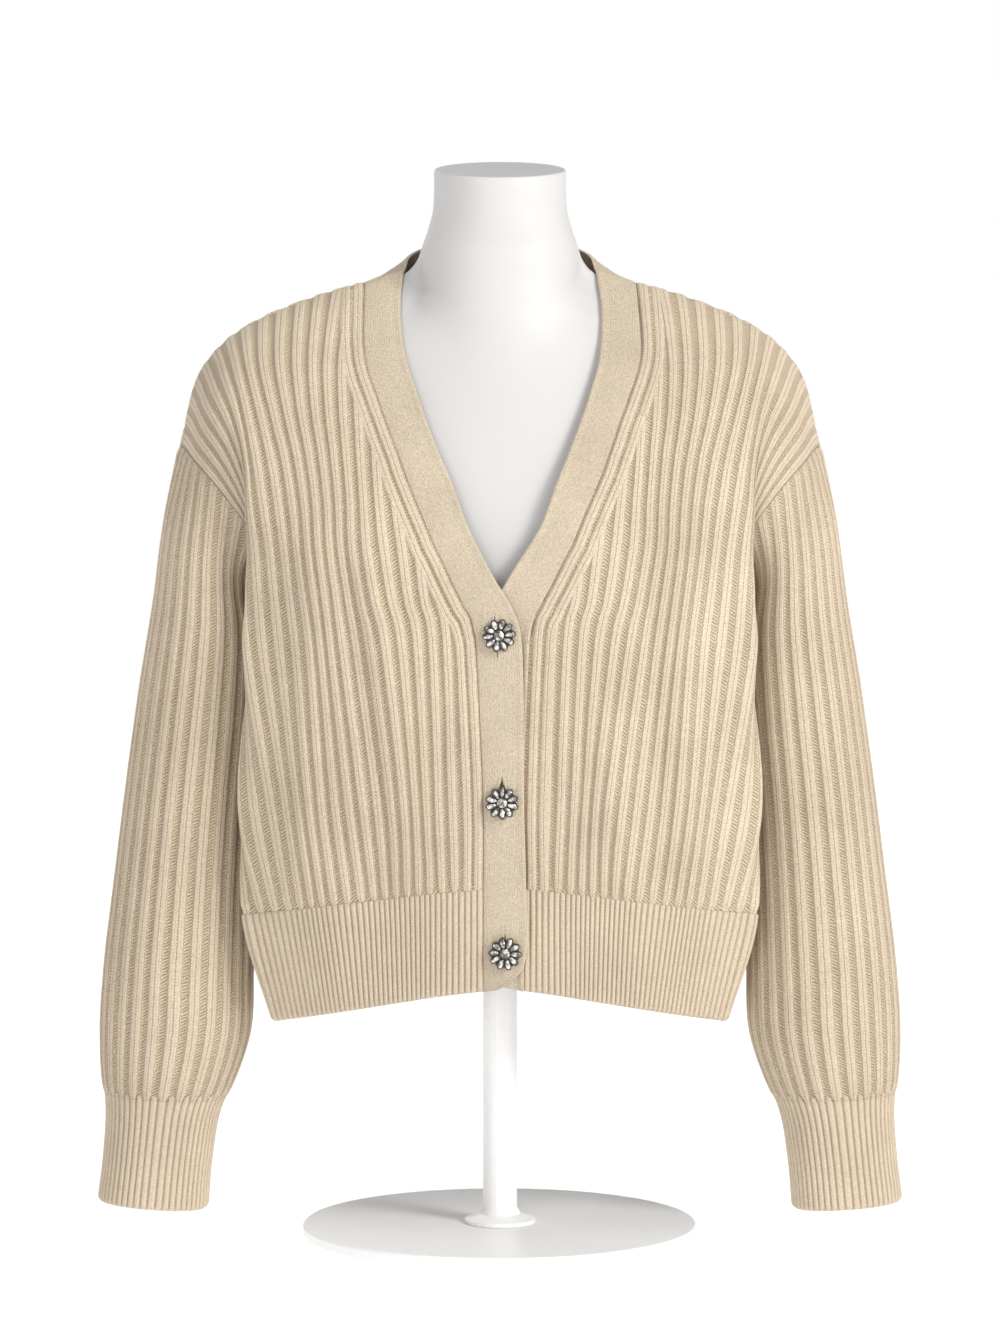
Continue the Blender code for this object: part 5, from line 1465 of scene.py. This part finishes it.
# the dark sheet in each slit is painted shadow of the slit's inside
GAP_SHADE = painted("buttonhole_gap", (0.09, 0.066, 0.043), 0.95, grain=2600.0, depth=0.0001, mottle=0.3)
bar_rings = [[(x, r * math.cos(a), r * math.sin(a)) for a in np.linspace(0, 2 * math.pi, 7)[:-1]]
             for x, r in ((-0.95, 0.15), (-0.7, 0.42), (0.0, 0.54), (0.7, 0.42), (0.95, 0.15))]
stitch_bar = solid("stitch_bar", bar_rings, True)


# %% Make the buttonholes
GAP_ROWS = 12
# back and front of the dark sheet of painted shadow, from the band's surface
GAP_BEHIND, GAP_BEFORE = 0.3, -0.12   # the dark gap's back and front, from the band's surface


def make_slit(label, number, above, below, opening, shift=0.0):
    """A slit from `above` to `below` the button's middle, in millimetres: a dark sheet in it, which is painted
    shadow, and its edge.
    """
    x, _, z = button_middle(number)
    x, top, length = x + shift * MM, z + above * MM, (above - below) * MM
    rows = []
    for n in range(GAP_ROWS, -1, -1):
        share = n / GAP_ROWS
        at = top - length * (0.04 + 0.92 * share)
        half = (0.15 + opening * min(1.0, share / OPENS_OVER) ** 1.5) * MM
        y = band_right.ray_cast(Vector((x, IN_FRONT, at)), Vector((0, 1, 0)))[1][1]
        rows.append([(px / MM, y / MM + py, at / MM)
                     for px, py in ((x - half, GAP_BEFORE), (x + half, GAP_BEFORE), (x + half, GAP_BEHIND),
                                    (x - half, GAP_BEHIND))])
    name = "buttonhole_%s_" % label
    gap = placed(name + "gap", mesh_of(name + "gap", rows, tube_faces(len(rows), 4)))
    gap.data.materials.append(GAP_SHADE)
    edge = placed(name + "edge", bpy.data.meshes.new("buttonhole_edge"))
    run_nodes(edge, SLIT, Stitch=stitch_bar, Cloth=band_right, Stitches=max(5, round((above - below) / 0.85)),
              Middle=x, Top=top, Length=length, Opening=opening * MM, Finish=STITCH_YARN)
    return gap, edge


slits = [make_slit("top", 1, 14.2, 6.0, 0.15, -3.2), make_slit("top_low", 1, -8.0, -16.2, 0.1, -1.2),
         make_slit("middle", 2, 18.6, 6.0, 1.7), make_slit("low", 3, 14.5, 5.0, 0.35)]
print("buttonholes", [len(edge.data.polygons) for gap, edge in slits])

# %% [markdown]
# ## What rides on what
# Every piece rides on the one body of the part, and the CAD solid whose place it takes is hidden.  A table
# lists for each knitted piece its node, its finish slot and the size that it was knitted to, and the loop
# prints how each piece's surface compares with that cut.

CLOTH = (
    (front_right, "front_right", "knit_body", (0.250, 0.450), 0.084),
    (front_left, "front_left", "knit_body", (0.240, 0.450), 0.081),
    (back, "back", "knit_body", (0.490, 0.455), 0.205),
    (sleeves[0], "sleeve_left", "knit_sleeve", (0.370, 0.480), 0.128),
    (sleeves[1], "sleeve_right", "knit_sleeve", (0.370, 0.480), 0.128),
    (cuffs[0], "cuff_left", "knit_rib", (0.205, 0.080), None),
    (cuffs[1], "cuff_right", "knit_rib", (0.205, 0.080), None),
    (hems[0], "hem_front_right", "knit_rib", (0.215, 0.083), None),
    (hems[1], "hem_front_left", "knit_rib", (0.210, 0.083), None),
    (hems[2], "hem_back", "knit_rib", (0.450, 0.085), None),
    (band_right, "band_right", "knit_band", (0.036, 0.600), None),
    (band_left, "band_left", "knit_band", (0.034, 0.600), None),
    (band_neck, "band_neck", "knit_band", (0.250, 0.036), None),
)
for piece, node, slot, flat, area in CLOTH:
    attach(piece, "root")
    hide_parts(node)
    surface, cut = sum(face.area for face in piece.data.polygons) / 2, area or flat[0] * flat[1]
    print(node, "surface %.4f m2, cut %.4f m2, ratio %.2f" % (surface, cut, surface / cut))

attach(form, "root")
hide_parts("dress_form")
for number, (setting, stones) in enumerate(buttons, 1):
    for piece in (setting, stones):
        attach(piece, "root")
    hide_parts("button_%d" % number)

for gap, edge in slits:
    for piece in (gap, edge):
        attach(piece, "root")

STAND_PAINT = painted("white_stand_paint", (0.93, 0.93, 0.93), 0.4, mottle=0.015)
for node in ("stand_base", "stand_pole"):
    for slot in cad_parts[node].material_slots:
        slot.material = STAND_PAINT
